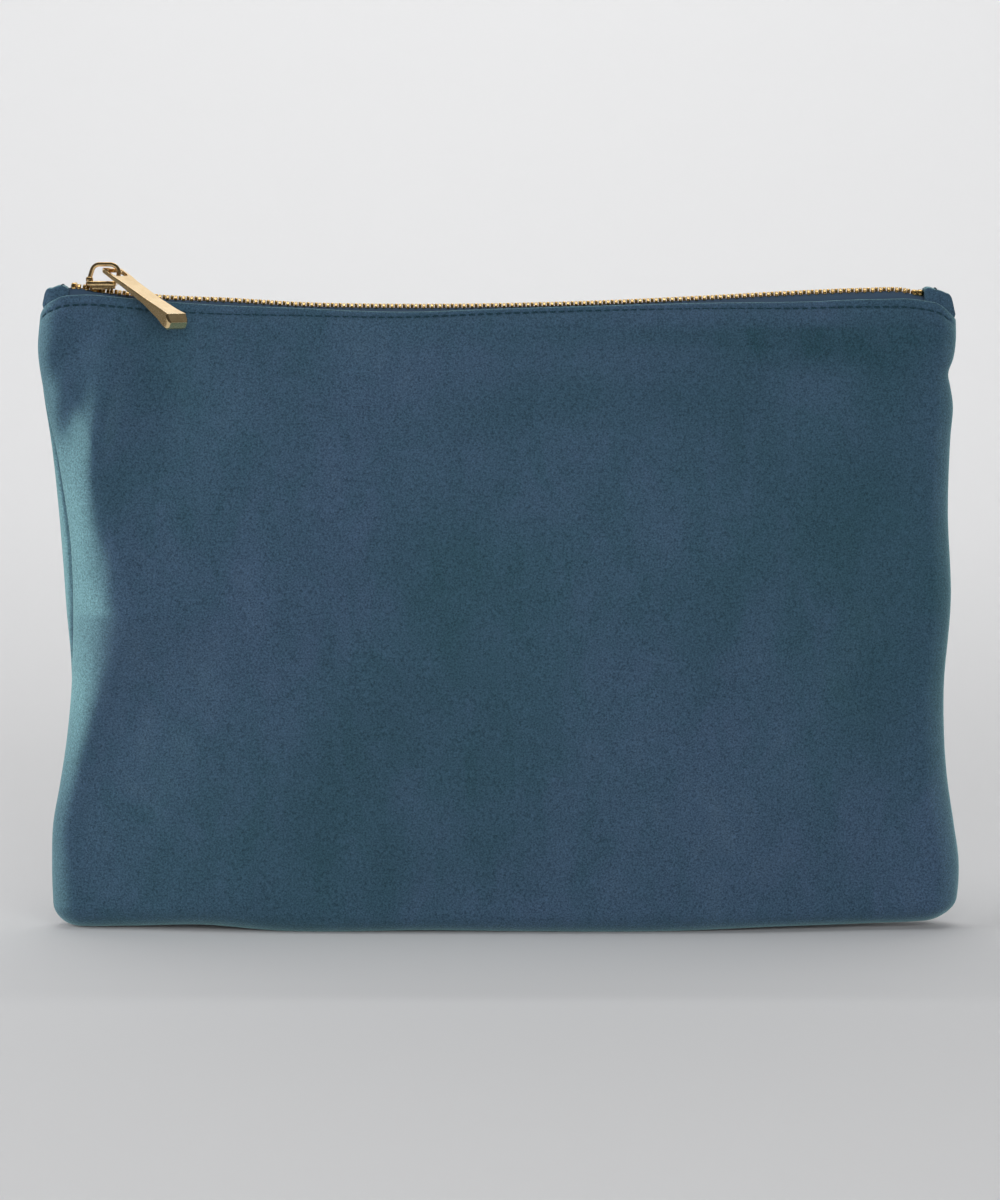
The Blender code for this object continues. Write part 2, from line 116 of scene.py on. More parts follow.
# Half widths of the bag against height: it is drawn in at the waist, and a
# crease notches its right side under the mouth.
LEFT_EDGE = curve_through(millimetres([
    (0, 132.9), (18, 133.3), (31, 132.8), (42, 130.8), (59, 128.2), (76, 127.0),
    (95, 128.3), (120, 130.0), (146, 132.6), (160, 134.8), (172, 136.2), (183, 135.3), (192, 134.6),
]))
RIGHT_EDGE = curve_through(millimetres([
    (0, 135.4), (8, 136.7), (19, 137.1), (31, 135.5), (45, 133.4), (70, 132.2), (98, 134.1),
    (125, 133.0), (146, 133.6), (156, 134.2), (161, 133.4), (164.5, 132.8), (169, 134.2), (183, 134.7),
    (192, 133.6),
]))
# Radius of the two sides in plan: the left flank turns over a wide fold.
LEFT_ROUND = curve_through(millimetres([
    (0, 9), (45, 8.5), (66, 11), (80, 15), (92, 20), (104, 23.5), (115, 20.5), (128, 17),
    (145, 13.5), (165, 9.5), (190, 7),
]))
RIGHT_ROUND = curve_through(millimetres([(0, 9), (60, 9), (120, 8.5), (190, 7)]))
# How far the left rounding is pulled straight, from 1 (an arc) towards a chamfer.
LEFT_CHAMFER = curve_through([
    (0, 1.0), (0.045, 1.0), (0.070, 1.12), (0.104, 1.14), (0.140, 1.12), (0.165, 1.0),
])
# The left seam's angle round its side, in radians from straight out to the front.
LEFT_SEAM = curve_through([
    (0, 0.0), (0.070, 0.0), (0.090, 0.36), (0.112, 0.50), (0.140, 0.38), (0.160, 0.12), (0.19, 0.0),
])
# Height of the mouth's edge, and of the chain's middle, along the zip.
RIM = curve_through(millimetres([
    (-137, 180.1), (-134, 184.4), (-130, 186.8), (-122, 187.9), (-112, 187.2), (-103, 186.3),
    (-88, 185.2), (-59, 184.0), (-29, 182.9), (0, 183.8), (30, 184.7), (60, 185.5),
    (90, 185.9), (110, 186.6), (124, 186.3), (130, 184.8), (134, 181.6), (138, 178.6),
]))
CHAIN = curve_through(millimetres([
    (-128, 190.2), (-123, 190.0), (-119, 189.1), (-112, 188.3), (-100, 187.0), (-80, 186.1),
    (-58, 184.8), (-30, 184.3), (0, 184.5), (30, 185.3), (60, 186.7), (90, 188.3), (108, 189.0),
    (118, 189.1), (127, 187.6),
]))
# From the rim down to the row of stitches: the edge rolls forward midway.
STITCH_DROP = curve_through(millimetres([
    (-130, 2.9), (-90, 2.7), (-60, 2.2), (-30, 1.6), (0, 1.4), (60, 1.6), (100, 2.1), (132, 2.6),
]))
# The underside lifts off the floor a little here and there.
BASE_LIFT = curve_through(millimetres([
    (-135, 1.2), (-126, 0.3), (-110, 0.5), (-88, 1.4), (-66, 0.0), (-20, 0.3), (10, 0.0), (50, 0.0),
    (83, 1.0), (107, 1.3), (128, 2.0), (136, 3.2),
]))

# Soft dents (negative) and swells of each panel:
# x, z, half length along the fold, half width, lean from upright, height.
FRONT_FOLDS = [
    (-101, 164, 26, 9, -8, -2.6),
    (-127, 170, 13, 5, 38, -1.6),
    (-127, 147, 12, 5, 12, -2.6),
    (-117, 150, 18, 4.5, 8, 1.9),
    (-113, 176, 8, 12, 60, 0.8),
    (-104, 120, 24, 9, -10, -1.0),
    (-60, 118, 45, 38, 20, 0.7),
    (-30, 60, 40, 46, 30, -0.6),
    (40, 135, 38, 50, -20, 0.6),
    (62, 66, 44, 46, 10, 0.8),
    (106, 118, 50, 26, 0, -0.8),
    (122, 165, 4, 16, 12, -1.1),
    (118, 150, 16, 6, 10, 0.6),
    (-92, 10, 10, 24, 0, 0.9),
    (-10, 12, 9, 40, 0, -0.7),
    (96, 14, 10, 26, 0, -0.8),
    (124, 30, 20, 9, 0, 0.9),
]
REAR_FOLDS = [
    (-108, 150, 26, 10, 8, -1.2),
    (-84, 110, 40, 24, 15, 0.8),
    (0, 92, 48, 56, 0, 0.8),
    (30, 150, 20, 60, 4, -0.6),
    (96, 120, 34, 16, -14, -1.2),
    (112, 70, 30, 16, 0, 0.8),
    (-40, 40, 18, 60, 6, -0.6),
    (60, 26, 14, 40, -6, 0.5),
]


def folds_at(x, z, folds):
    """The sum of a panel's dents and swells at each (x, z)."""
    total = np.zeros_like(x)
    for cx, cz, long, wide, lean, height in folds:
        c, s = cos(radians(lean)), sin(radians(lean))
        dx, dz = x / MM - cx, z / MM - cz
        along, across = s * dx + c * dz, c * dx - s * dz
        total += height * MM * np.exp(-((along / long) ** 2) - (across / wide) ** 2)
    return total


def ripple(x, z, phase):
    """A fine unevenness of the padded cloth, from waves that never line up."""
    waves = (
        (31.0, 17.0, 0.16), (-23.0, 41.0, 0.14), (57.0, -29.0, 0.09),
        (83.0, 71.0, 0.06), (-127.0, 59.0, 0.05), (149.0, 133.0, 0.04),
    )
    total = np.zeros_like(x)
    for i, (kx, kz, size) in enumerate(waves):
        total += size * MM * np.sin(2 * pi * (kx * x + kz * z) / 2.0 + phase * (i + 1))
    return total


# -------------------------------------------------------------- mesh helpers

def add_mesh(name, points, faces, material=None):
    """An object from points and faces, shaded smooth."""
    mesh = bpy.data.meshes.new(name)
    mesh.from_pydata([tuple(p) for p in points], [], faces)
    mesh.validate()
    mesh.shade_smooth()
    obj = bpy.data.objects.new(name, mesh)
    bpy.context.scene.collection.objects.link(obj)
    if material:
        mesh.materials.append(material)
    return obj


def grid_faces(rows, columns, closed=False, flip=False):
    """Quads of a grid of points; closed joins its last column to its first."""
    faces = []
    last = columns if closed else columns - 1
    for r in range(rows - 1):
        for c in range(last):
            d = (c + 1) % columns
            quad = (r * columns + c, r * columns + d, (r + 1) * columns + d, (r + 1) * columns + c)
            faces.append(quad[::-1] if flip else quad)
    return faces


def tube_faces(rings, sides):
    """The wall of a tube and the caps on its two ends."""
    faces = grid_faces(rings, sides, closed=True)
    faces.append(tuple(reversed(range(sides))))
    faces.append(tuple(range((rings - 1) * sides, rings * sides)))
    return faces


def grid_object(name, grid, material, flip=False):
    """An open sheet from a (rows, columns, 3) array."""
    rows, columns = grid.shape[:2]
    return add_mesh(name, grid.reshape(-1, 3), grid_faces(rows, columns, flip=flip), material)


def apply_modifiers(obj):
    """Bake an object's modifiers into its mesh."""
    graph = bpy.context.evaluated_depsgraph_get()
    mesh = bpy.data.meshes.new_from_object(obj.evaluated_get(graph))
    obj.modifiers.clear()
    obj.data = mesh
    return obj


def thicken(obj, thickness, offset=-1.0):
    """Give a sheet its thickness."""
    shell = obj.modifiers.new("thickness", "SOLIDIFY")
    shell.thickness = thickness
    shell.offset = offset
    return apply_modifiers(obj)


def loft(name, sections, material):
    """A closed skin over rings of equal length."""
    points = [p for ring in sections for p in ring]
    obj = add_mesh(name, points, tube_faces(len(sections), len(sections[0])), material)
    shape = bmesh.new()
    shape.from_mesh(obj.data)
    bmesh.ops.recalc_face_normals(shape, faces=shape.faces)
    shape.to_mesh(obj.data)
    shape.free()
    return obj


def bowed(value, power):
    """A sine or cosine raised to a power, keeping its sign."""
    return np.sign(value) * np.abs(value) ** power


def oval(count, a, b, a_power, b_power):
    """Points round an oval whose powers below 1 square it up."""
    angles = [2 * pi * k / count for k in range(count)]
    return [(a * bowed(cos(w), a_power), b * bowed(sin(w), b_power)) for w in angles]


def chamfered(wide, bottom, top, cut):
    """An oblong with its corners cut, from -wide to wide."""
    return [
        (wide - cut, bottom), (wide, bottom + cut), (wide, top - cut), (wide - cut, top),
        (-wide + cut, top), (-wide, top - cut), (-wide, bottom + cut), (-wide + cut, bottom),
    ]


def soften(obj, bevel, segments=2, angle=30.0):
    """Round the edges and keep flat faces flat."""
    rounding = obj.modifiers.new("rounding", "BEVEL")
    rounding.width = bevel
    rounding.segments = segments
    rounding.limit_method = "ANGLE"
    rounding.angle_limit = radians(angle)
    rounding.harden_normals = True
    return apply_modifiers(obj)


# ----------------------------------------------------------------- materials

def new_material(name, colour, roughness, metallic=0.0):
    """A Principled material; returns it with its node tree and shader."""
    material = bpy.data.materials.new(name)
    material.use_nodes = True
    tree = material.node_tree
    shader = tree.nodes["Principled BSDF"]
    shader.inputs["Base Color"].default_value = (*colour, 1.0)
    shader.inputs["Roughness"].default_value = roughness
    shader.inputs["Metallic"].default_value = metallic
    return material, tree, shader


def coordinates(tree, scale=(1.0, 1.0, 1.0)):
    """Object coordinates in metres, stretched by a scale."""
    source = tree.nodes.new("ShaderNodeTexCoord")
    mapping = tree.nodes.new("ShaderNodeMapping")
    mapping.inputs["Scale"].default_value = scale
    tree.links.new(source.outputs["Object"], mapping.inputs["Vector"])
    return mapping.outputs["Vector"]


def noise(tree, vector, scale, detail=3.0, roughness=0.55, distortion=0.0):
    """Cloudy noise, as a value from 0 to 1."""
    node = tree.nodes.new("ShaderNodeTexNoise")
    node.inputs["Scale"].default_value = scale
    node.inputs["Detail"].default_value = detail
    node.inputs["Roughness"].default_value = roughness
    node.inputs["Distortion"].default_value = distortion
    tree.links.new(vector, node.inputs["Vector"])
    return node.outputs["Fac"]


def ramp(tree, value, stops):
    """A colour ramp through (place, colour) stops."""
    node = tree.nodes.new("ShaderNodeValToRGB")
    elements = node.color_ramp.elements
    while len(elements) < len(stops):
        elements.new(0.5)
    for element, (place, colour) in zip(elements, stops):
        element.position = place
        element.color = (*colour, 1.0)
    tree.links.new(value, node.inputs["Fac"])
    return node.outputs["Color"]


def blend_colours(tree, factor, first, second, kind="MIX"):
    """Mix two colours; factor may be a number or a socket."""
    node = tree.nodes.new("ShaderNodeMix")
    node.data_type = "RGBA"
    node.blend_type = kind
    if isinstance(factor, float):
        node.inputs[0].default_value = factor
    else:
        tree.links.new(factor, node.inputs[0])
    for socket, value in ((node.inputs[6], first), (node.inputs[7], second)):
        if isinstance(value, tuple):
            socket.default_value = (*value, 1.0)
        else:
            tree.links.new(value, socket)
    return node.outputs[2]


def arithmetic(tree, kind, first, second):
    """One Math node on two values, each a number or a socket."""
    node = tree.nodes.new("ShaderNodeMath")
    node.operation = kind
    for socket, value in ((node.inputs[0], first), (node.inputs[1], second)):
        if isinstance(value, float):
            socket.default_value = value
        else:
            tree.links.new(value, socket)
    return node.outputs[0]


def span(tree, value, low, high, new_low=0.0, new_high=1.0):
    """Map a value's range onto another."""
    node = tree.nodes.new("ShaderNodeMapRange")
    node.inputs["From Min"].default_value = low
    node.inputs["From Max"].default_value = high
    node.inputs["To Min"].default_value = new_low
    node.inputs["To Max"].default_value = new_high
    tree.links.new(value, node.inputs["Value"])
    return node.outputs["Result"]


def shaded(tree, shader, colour, value, dark, light):
    """The base colour, multiplied by grey; dark and light are (value, grey)."""
    shade = ramp(tree, value, [(place, (grey, grey, grey)) for place, grey in (dark, light)])
    tree.links.new(blend_colours(tree, 1.0, colour, shade, "MULTIPLY"), shader.inputs["Base Color"])


def bump(tree, shader, height, distance, strength=1.0, under=None):
    """Raise a height in the shader's normal, on top of another bump."""
    node = tree.nodes.new("ShaderNodeBump")
    node.inputs["Distance"].default_value = distance
    node.inputs["Strength"].default_value = strength
    tree.links.new(height, node.inputs["Height"])
    if under is not None:
        tree.links.new(under, node.inputs["Normal"])
    tree.links.new(node.outputs["Normal"], shader.inputs["Normal"])
    return node.outputs["Normal"]


def attribute(tree, name):
    """A value stored on the mesh's points."""
    node = tree.nodes.new("ShaderNodeAttribute")
    node.attribute_name = name
    return node.outputs["Fac"]


def brushed_and_highlighted_pile(tree, colour, smudges):
    """Darken the pile where it is brushed flat, and paint a light teal highlight on the flanks that turn to
    the side, mostly on the left where the key light falls.
    """
    dark = arithmetic(tree, "MULTIPLY", attribute(tree, "brushed"), span(tree, smudges, 0.35, 0.7, 0.35, 1.0))
    colour = blend_colours(tree, dark, colour, (0.014, 0.043, 0.058))
    # painted highlight: light teal where the flanks turn towards the lights, mostly the left key
    highlight_mix = arithmetic(tree, "MULTIPLY", attribute(tree, "painted_highlight"), span(tree, smudges, 0.2, 0.8, 0.80, 1.0))
    return blend_colours(tree, highlight_mix, colour, (0.170, 0.325, 0.355))


def velvet_material(name, brushing_and_highlight=True):
    """Cut pile: mottled where it lies this way or that, with a soft rim sheen.

    A piece with brushing carries the point values brushed, for flattened pile, and a second one that paints a
    highlight on its turned flanks.
    """
    material, tree, shader = new_material(name, (0.04, 0.08, 0.115), 0.9)
    shader.inputs["Specular IOR Level"].default_value = 0.12
    shader.inputs["Sheen Weight"].default_value = 0.55
    shader.inputs["Sheen Roughness"].default_value = 0.45
    shader.inputs["Sheen Tint"].default_value = (0.45, 0.76, 0.78, 1.0)
    place = coordinates(tree)
    lay = coordinates(tree, (1.0, 1.0, 0.55))
    patches = noise(tree, lay, 22.0, 4.0, 0.55, 0.6)
    smudges = noise(tree, lay, 75.0, 3.0, 0.6, 1.0)
    hue = noise(tree, place, 14.0, 2.0, 0.5)
    grain = noise(tree, place, 1900.0, 2.0, 0.6)
    fine = noise(tree, place, 3600.0, 1.0, 0.5)
    broad = span(tree, patches, 0.3, 0.7, 0.0, 0.62)
    small = span(tree, smudges, 0.3, 0.7, 0.0, 0.38)
    lay_mix = arithmetic(tree, "ADD", broad, small)
    tone = ramp(tree, lay_mix, [
        (0.10, (0.022, 0.053, 0.076)),
        (0.42, (0.029, 0.062, 0.095)),
        (0.70, (0.038, 0.070, 0.114)),
        (0.95, (0.047, 0.082, 0.126)),
    ])
    teal = ramp(tree, hue, [(0.38, (0.031, 0.074, 0.099)), (0.62, (0.044, 0.072, 0.122))])
    colour = blend_colours(tree, 0.25, tone, teal)
    # flattened pile, and a painted highlight on the flanks turned to the lights
    if brushing_and_highlight:
        colour = brushed_and_highlighted_pile(tree, colour, smudges)
    tufts = span(tree, grain, 0.25, 0.75, 0.0, 0.7)
    pile = arithmetic(tree, "ADD", tufts, span(tree, fine, 0.25, 0.75, 0.0, 0.3))
    shaded(tree, shader, colour, pile, (0.15, 0.50), (0.85, 1.42))
    tree.links.new(span(tree, pile, 0.0, 1.0, 0.98, 0.80), shader.inputs["Roughness"])
    under = bump(tree, shader, smudges, 0.7 * MM, 0.35)
    bump(tree, shader, pile, 0.16 * MM, 0.75, under)
    return material


def woven_material(name, colour, pitch, roughness=0.8, sheen=0.2):
    """A plain weave: warp and weft ridges crossing at a pitch."""
    material, tree, shader = new_material(name, colour, roughness)
    shader.inputs["Sheen Weight"].default_value = sheen
    shader.inputs["Specular IOR Level"].default_value = 0.25
    place = coordinates(tree)
    parts = tree.nodes.new("ShaderNodeSeparateXYZ")
    tree.links.new(place, parts.inputs[0])
    turns = 2 * pi / pitch
    warp = arithmetic(tree, "SINE", arithmetic(tree, "MULTIPLY", parts.outputs["X"], turns), 0.0)
    rise = arithmetic(tree, "ADD", parts.outputs["Y"], parts.outputs["Z"])
    weft = arithmetic(tree, "SINE", arithmetic(tree, "MULTIPLY", rise, turns), 0.0)
    weave = arithmetic(tree, "MULTIPLY", warp, weft)
    fuzz = noise(tree, place, 2600.0, 2.0)
    ridges = span(tree, weave, -1.0, 1.0, 0.0, 0.75)
    height = arithmetic(tree, "ADD", ridges, arithmetic(tree, "MULTIPLY", fuzz, 0.25))
    shaded(tree, shader, colour, height, (0.1, 0.55), (0.9, 1.25))
    dullness = span(tree, fuzz, 0.3, 0.7, roughness - 0.08, roughness + 0.08)
    tree.links.new(dullness, shader.inputs["Roughness"])
    bump(tree, shader, height, 0.12 * MM, 0.8)
    return material


def felt_material(name, colour):
    """Wadding: matted fibres with no direction."""
    material, tree, shader = new_material(name, colour, 0.95)
    place = coordinates(tree)
    fibres = noise(tree, place, 900.0, 6.0, 0.7, 1.5)
    shaded(tree, shader, colour, fibres, (0.3, 0.72), (0.7, 1.1))
    bump(tree, shader, fibres, 0.3 * MM, 0.6)
    return material


def thread_material(name, colour):
    """Twisted sewing thread."""
    material, tree, shader = new_material(name, colour, 0.6)
    shader.inputs["Specular IOR Level"].default_value = 0.2
    twist = tree.nodes.new("ShaderNodeTexWave")
    twist.bands_direction = "DIAGONAL"
    twist.inputs["Scale"].default_value = 900.0
    twist.inputs["Distortion"].default_value = 1.0
    tree.links.new(coordinates(tree), twist.inputs["Vector"])
    shaded(tree, shader, colour, twist.outputs["Fac"], (0.2, 0.6), (0.8, 1.2))
    bump(tree, shader, twist.outputs["Fac"], 0.05 * MM, 0.5)
    return material


def gold_material(name, colour, roughness, wear=0.08):
    """Polished plated metal with faint wipe marks and small dulled patches."""
    material, tree, shader = new_material(name, colour, roughness, 1.0)
    place = coordinates(tree)
    clouds = noise(tree, place, 420.0, 3.0, 0.6)
    wipes = noise(tree, coordinates(tree, (1.0, 6.0, 6.0)), 900.0, 2.0, 0.6)
    dulled = span(tree, clouds, 0.35, 0.75, 0.0, 0.7)
    dull = arithmetic(tree, "ADD", dulled, span(tree, wipes, 0.4, 0.8, 0.0, 0.3))
    tree.links.new(span(tree, dull, 0.0, 1.0, roughness - 0.04, roughness + wear), shader.inputs["Roughness"])
    deep = tuple(c * f for c, f in zip(colour, (0.86, 0.78, 0.66)))
    tree.links.new(blend_colours(tree, dull, colour, deep), shader.inputs["Base Color"])
    bump(tree, shader, wipes, 0.01 * MM, 0.4)
    return material


MATERIALS = {
    "velvet": velvet_material("velvet"),
    "velvet_tab": velvet_material("velvet_tab", brushing_and_highlight=False),
    "interlining": felt_material("interlining", (0.75, 0.74, 0.70)),
    "lining": woven_material("lining", (0.030, 0.050, 0.075), 0.5 * MM, 0.65),
    "zip_tape": woven_material("zip_tape", (0.040, 0.070, 0.112), 0.62 * MM, 0.9, 0.0),
    "thread": thread_material("thread", (0.013, 0.038, 0.054)),
    "gold_teeth": gold_material("gold_teeth", (0.80, 0.55, 0.22), 0.26),
    "gold_slider": gold_material("gold_slider", (0.86, 0.62, 0.32), 0.17),
    "gold_puller": gold_material("gold_puller", (0.90, 0.68, 0.38), 0.15),
}


def finish_piece(obj, body, slot_name, *nodes):
    """Place a piece on its body, in its slot, for the CAD nodes it shows."""
    if not obj.data.materials:
        obj.data.materials.append(MATERIALS[slot_name])
    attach(obj, body)
    if nodes:
        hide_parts(*nodes)
    return obj


# ------------------------------------------------------------ the bag's form

SIDE_COLUMNS = 22
FACE_COLUMNS = 420
WALL_ROWS = 210
BASE_ROWS = 10                  # from the bottom seam out to the wall
FACING_DROPS = (2.0, 5.0, 9.0)  # mm below the rim, of the hem turned inside
SEAM_GAP = 0.25 * MM            # each panel stops this short of the middle
SEAM_LIFT = 0.7 * MM            # the bottom seam is drawn up into the bag
VALLEY = 1.25 * MM              # how deep the side seams sink


def half_depth(z, x):
    """Half the bag's depth at its middle, from its own rim down to the base."""
    drop = RIM(x) - z
    below = np.clip(drop / BELLY_DROP, 0.0, 1.0)
    upper = RIM_DEPTH + (BELLY - RIM_DEPTH) * np.sin(0.5 * pi * below)
    t = np.clip(z / (RIM_Z - BELLY_DROP), 0.0, 1.0)
    lower = BASE_DEPTH + (BELLY - BASE_DEPTH) * smooth(t)
    return np.minimum(upper, lower)


def base_inset(z, inward):
    """How far the walls draw in as they turn under at the base."""
    reach = BASE_RADIUS - inward
    into = np.clip(BASE_RADIUS - z, 0.0, reach)
    return BASE_RADIUS - np.sqrt(np.maximum(reach**2 - into**2, 0.0))


def hem(drop, x):
    """How far the turned edge stands proud, by the drop below the rim."""
    d = drop / MM
    groove = STITCH_DROP(x) / MM
    ridge = 0.34 * np.sin(pi * np.clip(d / groove, 0.0, 1.0)) ** 0.8
    pull = 0.78 + 0.22 * np.cos(2 * pi * x / STITCH_PITCH)
    stitches = -0.62 * pull * np.exp(-(((d - groove) / 0.50) ** 2))
    swell = 0.22 * np.exp(-(((d - groove - 2.6) / 1.8) ** 2))
    return (ridge + stitches + swell) * MM


def wall_points(side, columns, z, inward=0.0):
    """Points of a panel's outer surface: side -1 is the front, 1 the rear.

    columns holds (kind, t): on the left side, the face or the right side, with
    t from 0 at the seam (or the left) to 1.  z is an array of the same shape.
    inward moves the points into the bag, for the layers inside.
    """
    kind, t = columns
    on_left, on_face, on_right = kind == 0, kind == 1, kind == 2
    inset = base_inset(z, inward)
    left_bow = LEFT_CHAMFER(z)
    left_turn = -side * LEFT_SEAM(z)
    left_angle = left_turn + t * (pi / 2 - left_turn)
    right_angle = pi / 2 - t * (pi / 2)
    x = np.zeros_like(z)
    for _ in range(4):
        depth = half_depth(z, x)
        left_r = np.minimum(LEFT_ROUND(z), depth)
        right_r = np.minimum(RIGHT_ROUND(z), depth)
        left_c = -(LEFT_EDGE(z) - left_r)
        right_c = RIGHT_EDGE(z) - right_r
        left_x = left_c - (left_r - inset) * bowed(np.cos(left_angle), left_bow)
        face_x = left_c + t * (right_c - left_c)
        right_x = right_c + (right_r - inset) * np.cos(right_angle)
        x = np.select([on_left, on_face], [left_x, face_x], right_x)
    full = (1 - (2 * t - 1) ** 4) ** 2
    face_r = left_r + t * (right_r - left_r)
    left_out = (left_r - inset) * bowed(np.sin(left_angle), left_bow)
    face_out = face_r + (depth - face_r) * full - inset
    right_out = (right_r - inset) * np.sin(right_angle)
    out = np.select([on_left, on_face], [left_out, face_out], right_out)
    near_side = np.select([on_left, on_right], [np.sin(left_angle), np.sin(right_angle)], 1.0)
    folds = FRONT_FOLDS if side < 0 else REAR_FOLDS
    calm = np.clip((RIM(x) - z - 3 * MM) / (14 * MM), 0.0, 1.0) * np.clip(z / (8 * MM), 0.0, 1.0)
    soft = folds_at(x, z, folds) + ripple(x, z, 1.3 if side < 0 else 2.9)
    edge = hem(RIM(x) - z, x) if inward == 0.0 else 0.0
    out = out + np.clip(near_side, 0.0, 1.0) * (calm * soft + edge)
    # the seam's valley, where the two panels meet
    left_way = t * (pi / 2 - left_turn) * left_r
    right_way = (1 - t) * (pi / 2) * right_r
    from_seam = np.select([on_left, on_right], [left_way, right_way], 1.0)
    valley = VALLEY * np.exp(-((from_seam / (0.9 * MM)) ** 2))
    x = x + valley * np.select([on_left, on_right], [np.cos(left_angle), -np.cos(right_angle)], 0.0)
    out = out - valley * np.where(on_face, 0.0, near_side)
    z = z + BASE_LIFT(x) * np.exp(-z / (9 * MM))
    return np.stack([x, side * out, z], axis=-1)


def column_kinds():
    """The columns of a panel, seam to seam."""
    arc = 0.5 - 0.5 * np.cos(pi * np.linspace(0, 1, SIDE_COLUMNS + 1))
    kind = np.concatenate([np.zeros(SIDE_COLUMNS), np.ones(FACE_COLUMNS + 1), np.full(SIDE_COLUMNS, 2)])
    t = np.concatenate([arc[:-1], np.linspace(0, 1, FACE_COLUMNS + 1), arc[1:]])
    return kind, t


def rim_heights(side, columns):
    """Where each column meets the curved rim, found by repeated tries."""
    z = np.full(columns[0].shape, RIM_Z)
    for _ in range(8):
        z = RIM(wall_points(side, columns, z)[..., 0]) - HEM_RADIUS
    return z


def base_rows(side, foot):
    """Rows under the bag, from the bottom seam out to the foot of the wall."""
    rows = []
    seam_y = side * SEAM_GAP
    for i in range(BASE_ROWS):
        row = foot.copy()
        row[:, 1] = seam_y + (foot[:, 1] - seam_y) * i / BASE_ROWS
        near_seam = np.abs(row[:, 1]) / (2.0 * MM)
        row[:, 2] += SEAM_LIFT * np.exp(-(near_seam**2))
        rows.append(row)
    return rows


def hem_rows(rim, top):
    """Rows that roll over the rim and down inside it."""
    rows = []
    left_c = -(LEFT_EDGE(top) - RIM_DEPTH)
    right_c = RIGHT_EDGE(top) - RIM_DEPTH
    centre_x = np.clip(rim[:, 0], left_c, right_c)
    inward = np.stack([centre_x - rim[:, 0], -rim[:, 1], np.zeros_like(top)], axis=-1)
    inward /= np.maximum(np.linalg.norm(inward, axis=-1, keepdims=True), 1e-9)
    for angle in np.linspace(0, pi, 9)[1:]:
        row = rim + inward * HEM_RADIUS * (1 - cos(angle))
        row[:, 2] += HEM_RADIUS * sin(angle)
        rows.append(row)
    inner_edge = rows[-1]
    for drop in FACING_DROPS:
        row = inner_edge.copy()
        row[:, 2] -= drop * MM
        rows.append(row)
    return rows


def panel_grid(side):
    """A panel's outer surface: under the base, up the wall and over the hem."""
    columns = column_kinds()
    top = rim_heights(side, columns)
    rows = base_rows(side, wall_points(side, columns, np.zeros_like(top)))
    turn = np.linspace(0, pi / 2, 9)[:-1]
    for z in BASE_RADIUS * (1 - np.cos(turn)):
        rows.append(wall_points(side, columns, np.full_like(top, z)))
    even = np.linspace(0, 1, WALL_ROWS)
    crowd = even + 0.16 * np.sin(pi * even) * even      # rows gather under the rim
    for f in crowd / crowd[-1]:
        rows.append(wall_points(side, columns, BASE_RADIUS + (top - BASE_RADIUS) * f))
    return np.array(rows + hem_rows(rows[-1], top))


def brushed_amount(points):
    """Where the pile has been stroked dark: smudges, mostly at the upper right."""
    # x, z, half width and half height in mm, and strength
    patches = [
        (88, 172, 34, 7, 0.75), (118, 165, 16, 22, 0.55), (62, 158, 16, 9, 0.55), (20, 158, 26, 8, 0.5),
        (-98, 166, 9, 20, 0.35), (-10, 150, 20, 8, 0.35), (105, 130, 22, 16, 0.35), (70, 176, 60, 3.5, 0.6),
        (112, 75, 14, 20, 0.3), (60, 95, 30, 22, 0.15),
    ]
    total = np.zeros(len(points))
    for cx, cz, rx, rz, amount in patches:
        dx, dz = points[:, 0] / MM - cx, points[:, 2] / MM - cz
        total += amount * np.exp(-((dx / rx) ** 2) - (dz / rz) ** 2)
    return np.clip(total, 0.0, 0.9)


def flank_highlight_amount(points, normals):
    """How much painted highlight each point gets: on flanks turned to the side, mostly the left one that
    faces the key light, less near the rim and the base, on faces turned down and on the rear.
    """
    left = np.clip((-normals[:, 0] - 0.20) / 0.55, 0.0, 1.0)
    right = np.clip((normals[:, 0] - 0.25) / 0.75, 0.0, 1.0)
    left = smooth(left)
    calm = np.clip((RIM(points[:, 0]) - points[:, 2]) / (70 * MM), 0.28, 1.0)
    low = np.clip((points[:, 2] - 20 * MM) / (50 * MM), 0.30, 1.0)
    lit_side = np.clip(1 + 2 * normals[:, 2], 0.0, 1.0)
    behind = np.clip(1 - 1.1 * normals[:, 1], 0.35, 1.0)
    return np.clip(left * calm * low * behind + 0.20 * right, 0.0, 1.0) * lit_side


def velvet_panel(name, side, node):
    """One velvet panel with its thickness, its hem turned in."""
    panel = grid_object(name, panel_grid(side), MATERIALS["velvet"], flip=side > 0)
    thicken(panel, VELVET)
    points = np.array([v.co for v in panel.data.vertices])
    normals = np.array([v.normal for v in panel.data.vertices])
    # brushed marks flattened pile; the other value is a painted highlight on the turned flanks
    for title, amount in (("brushed", brushed_amount(points)), ("painted_highlight", flank_highlight_amount(points, normals))):
        layer = panel.data.attributes.new(title, "FLOAT", "POINT")
        layer.data.foreach_set("value", amount.astype(np.float32))
    return finish_piece(panel, "pouch", "velvet", node)


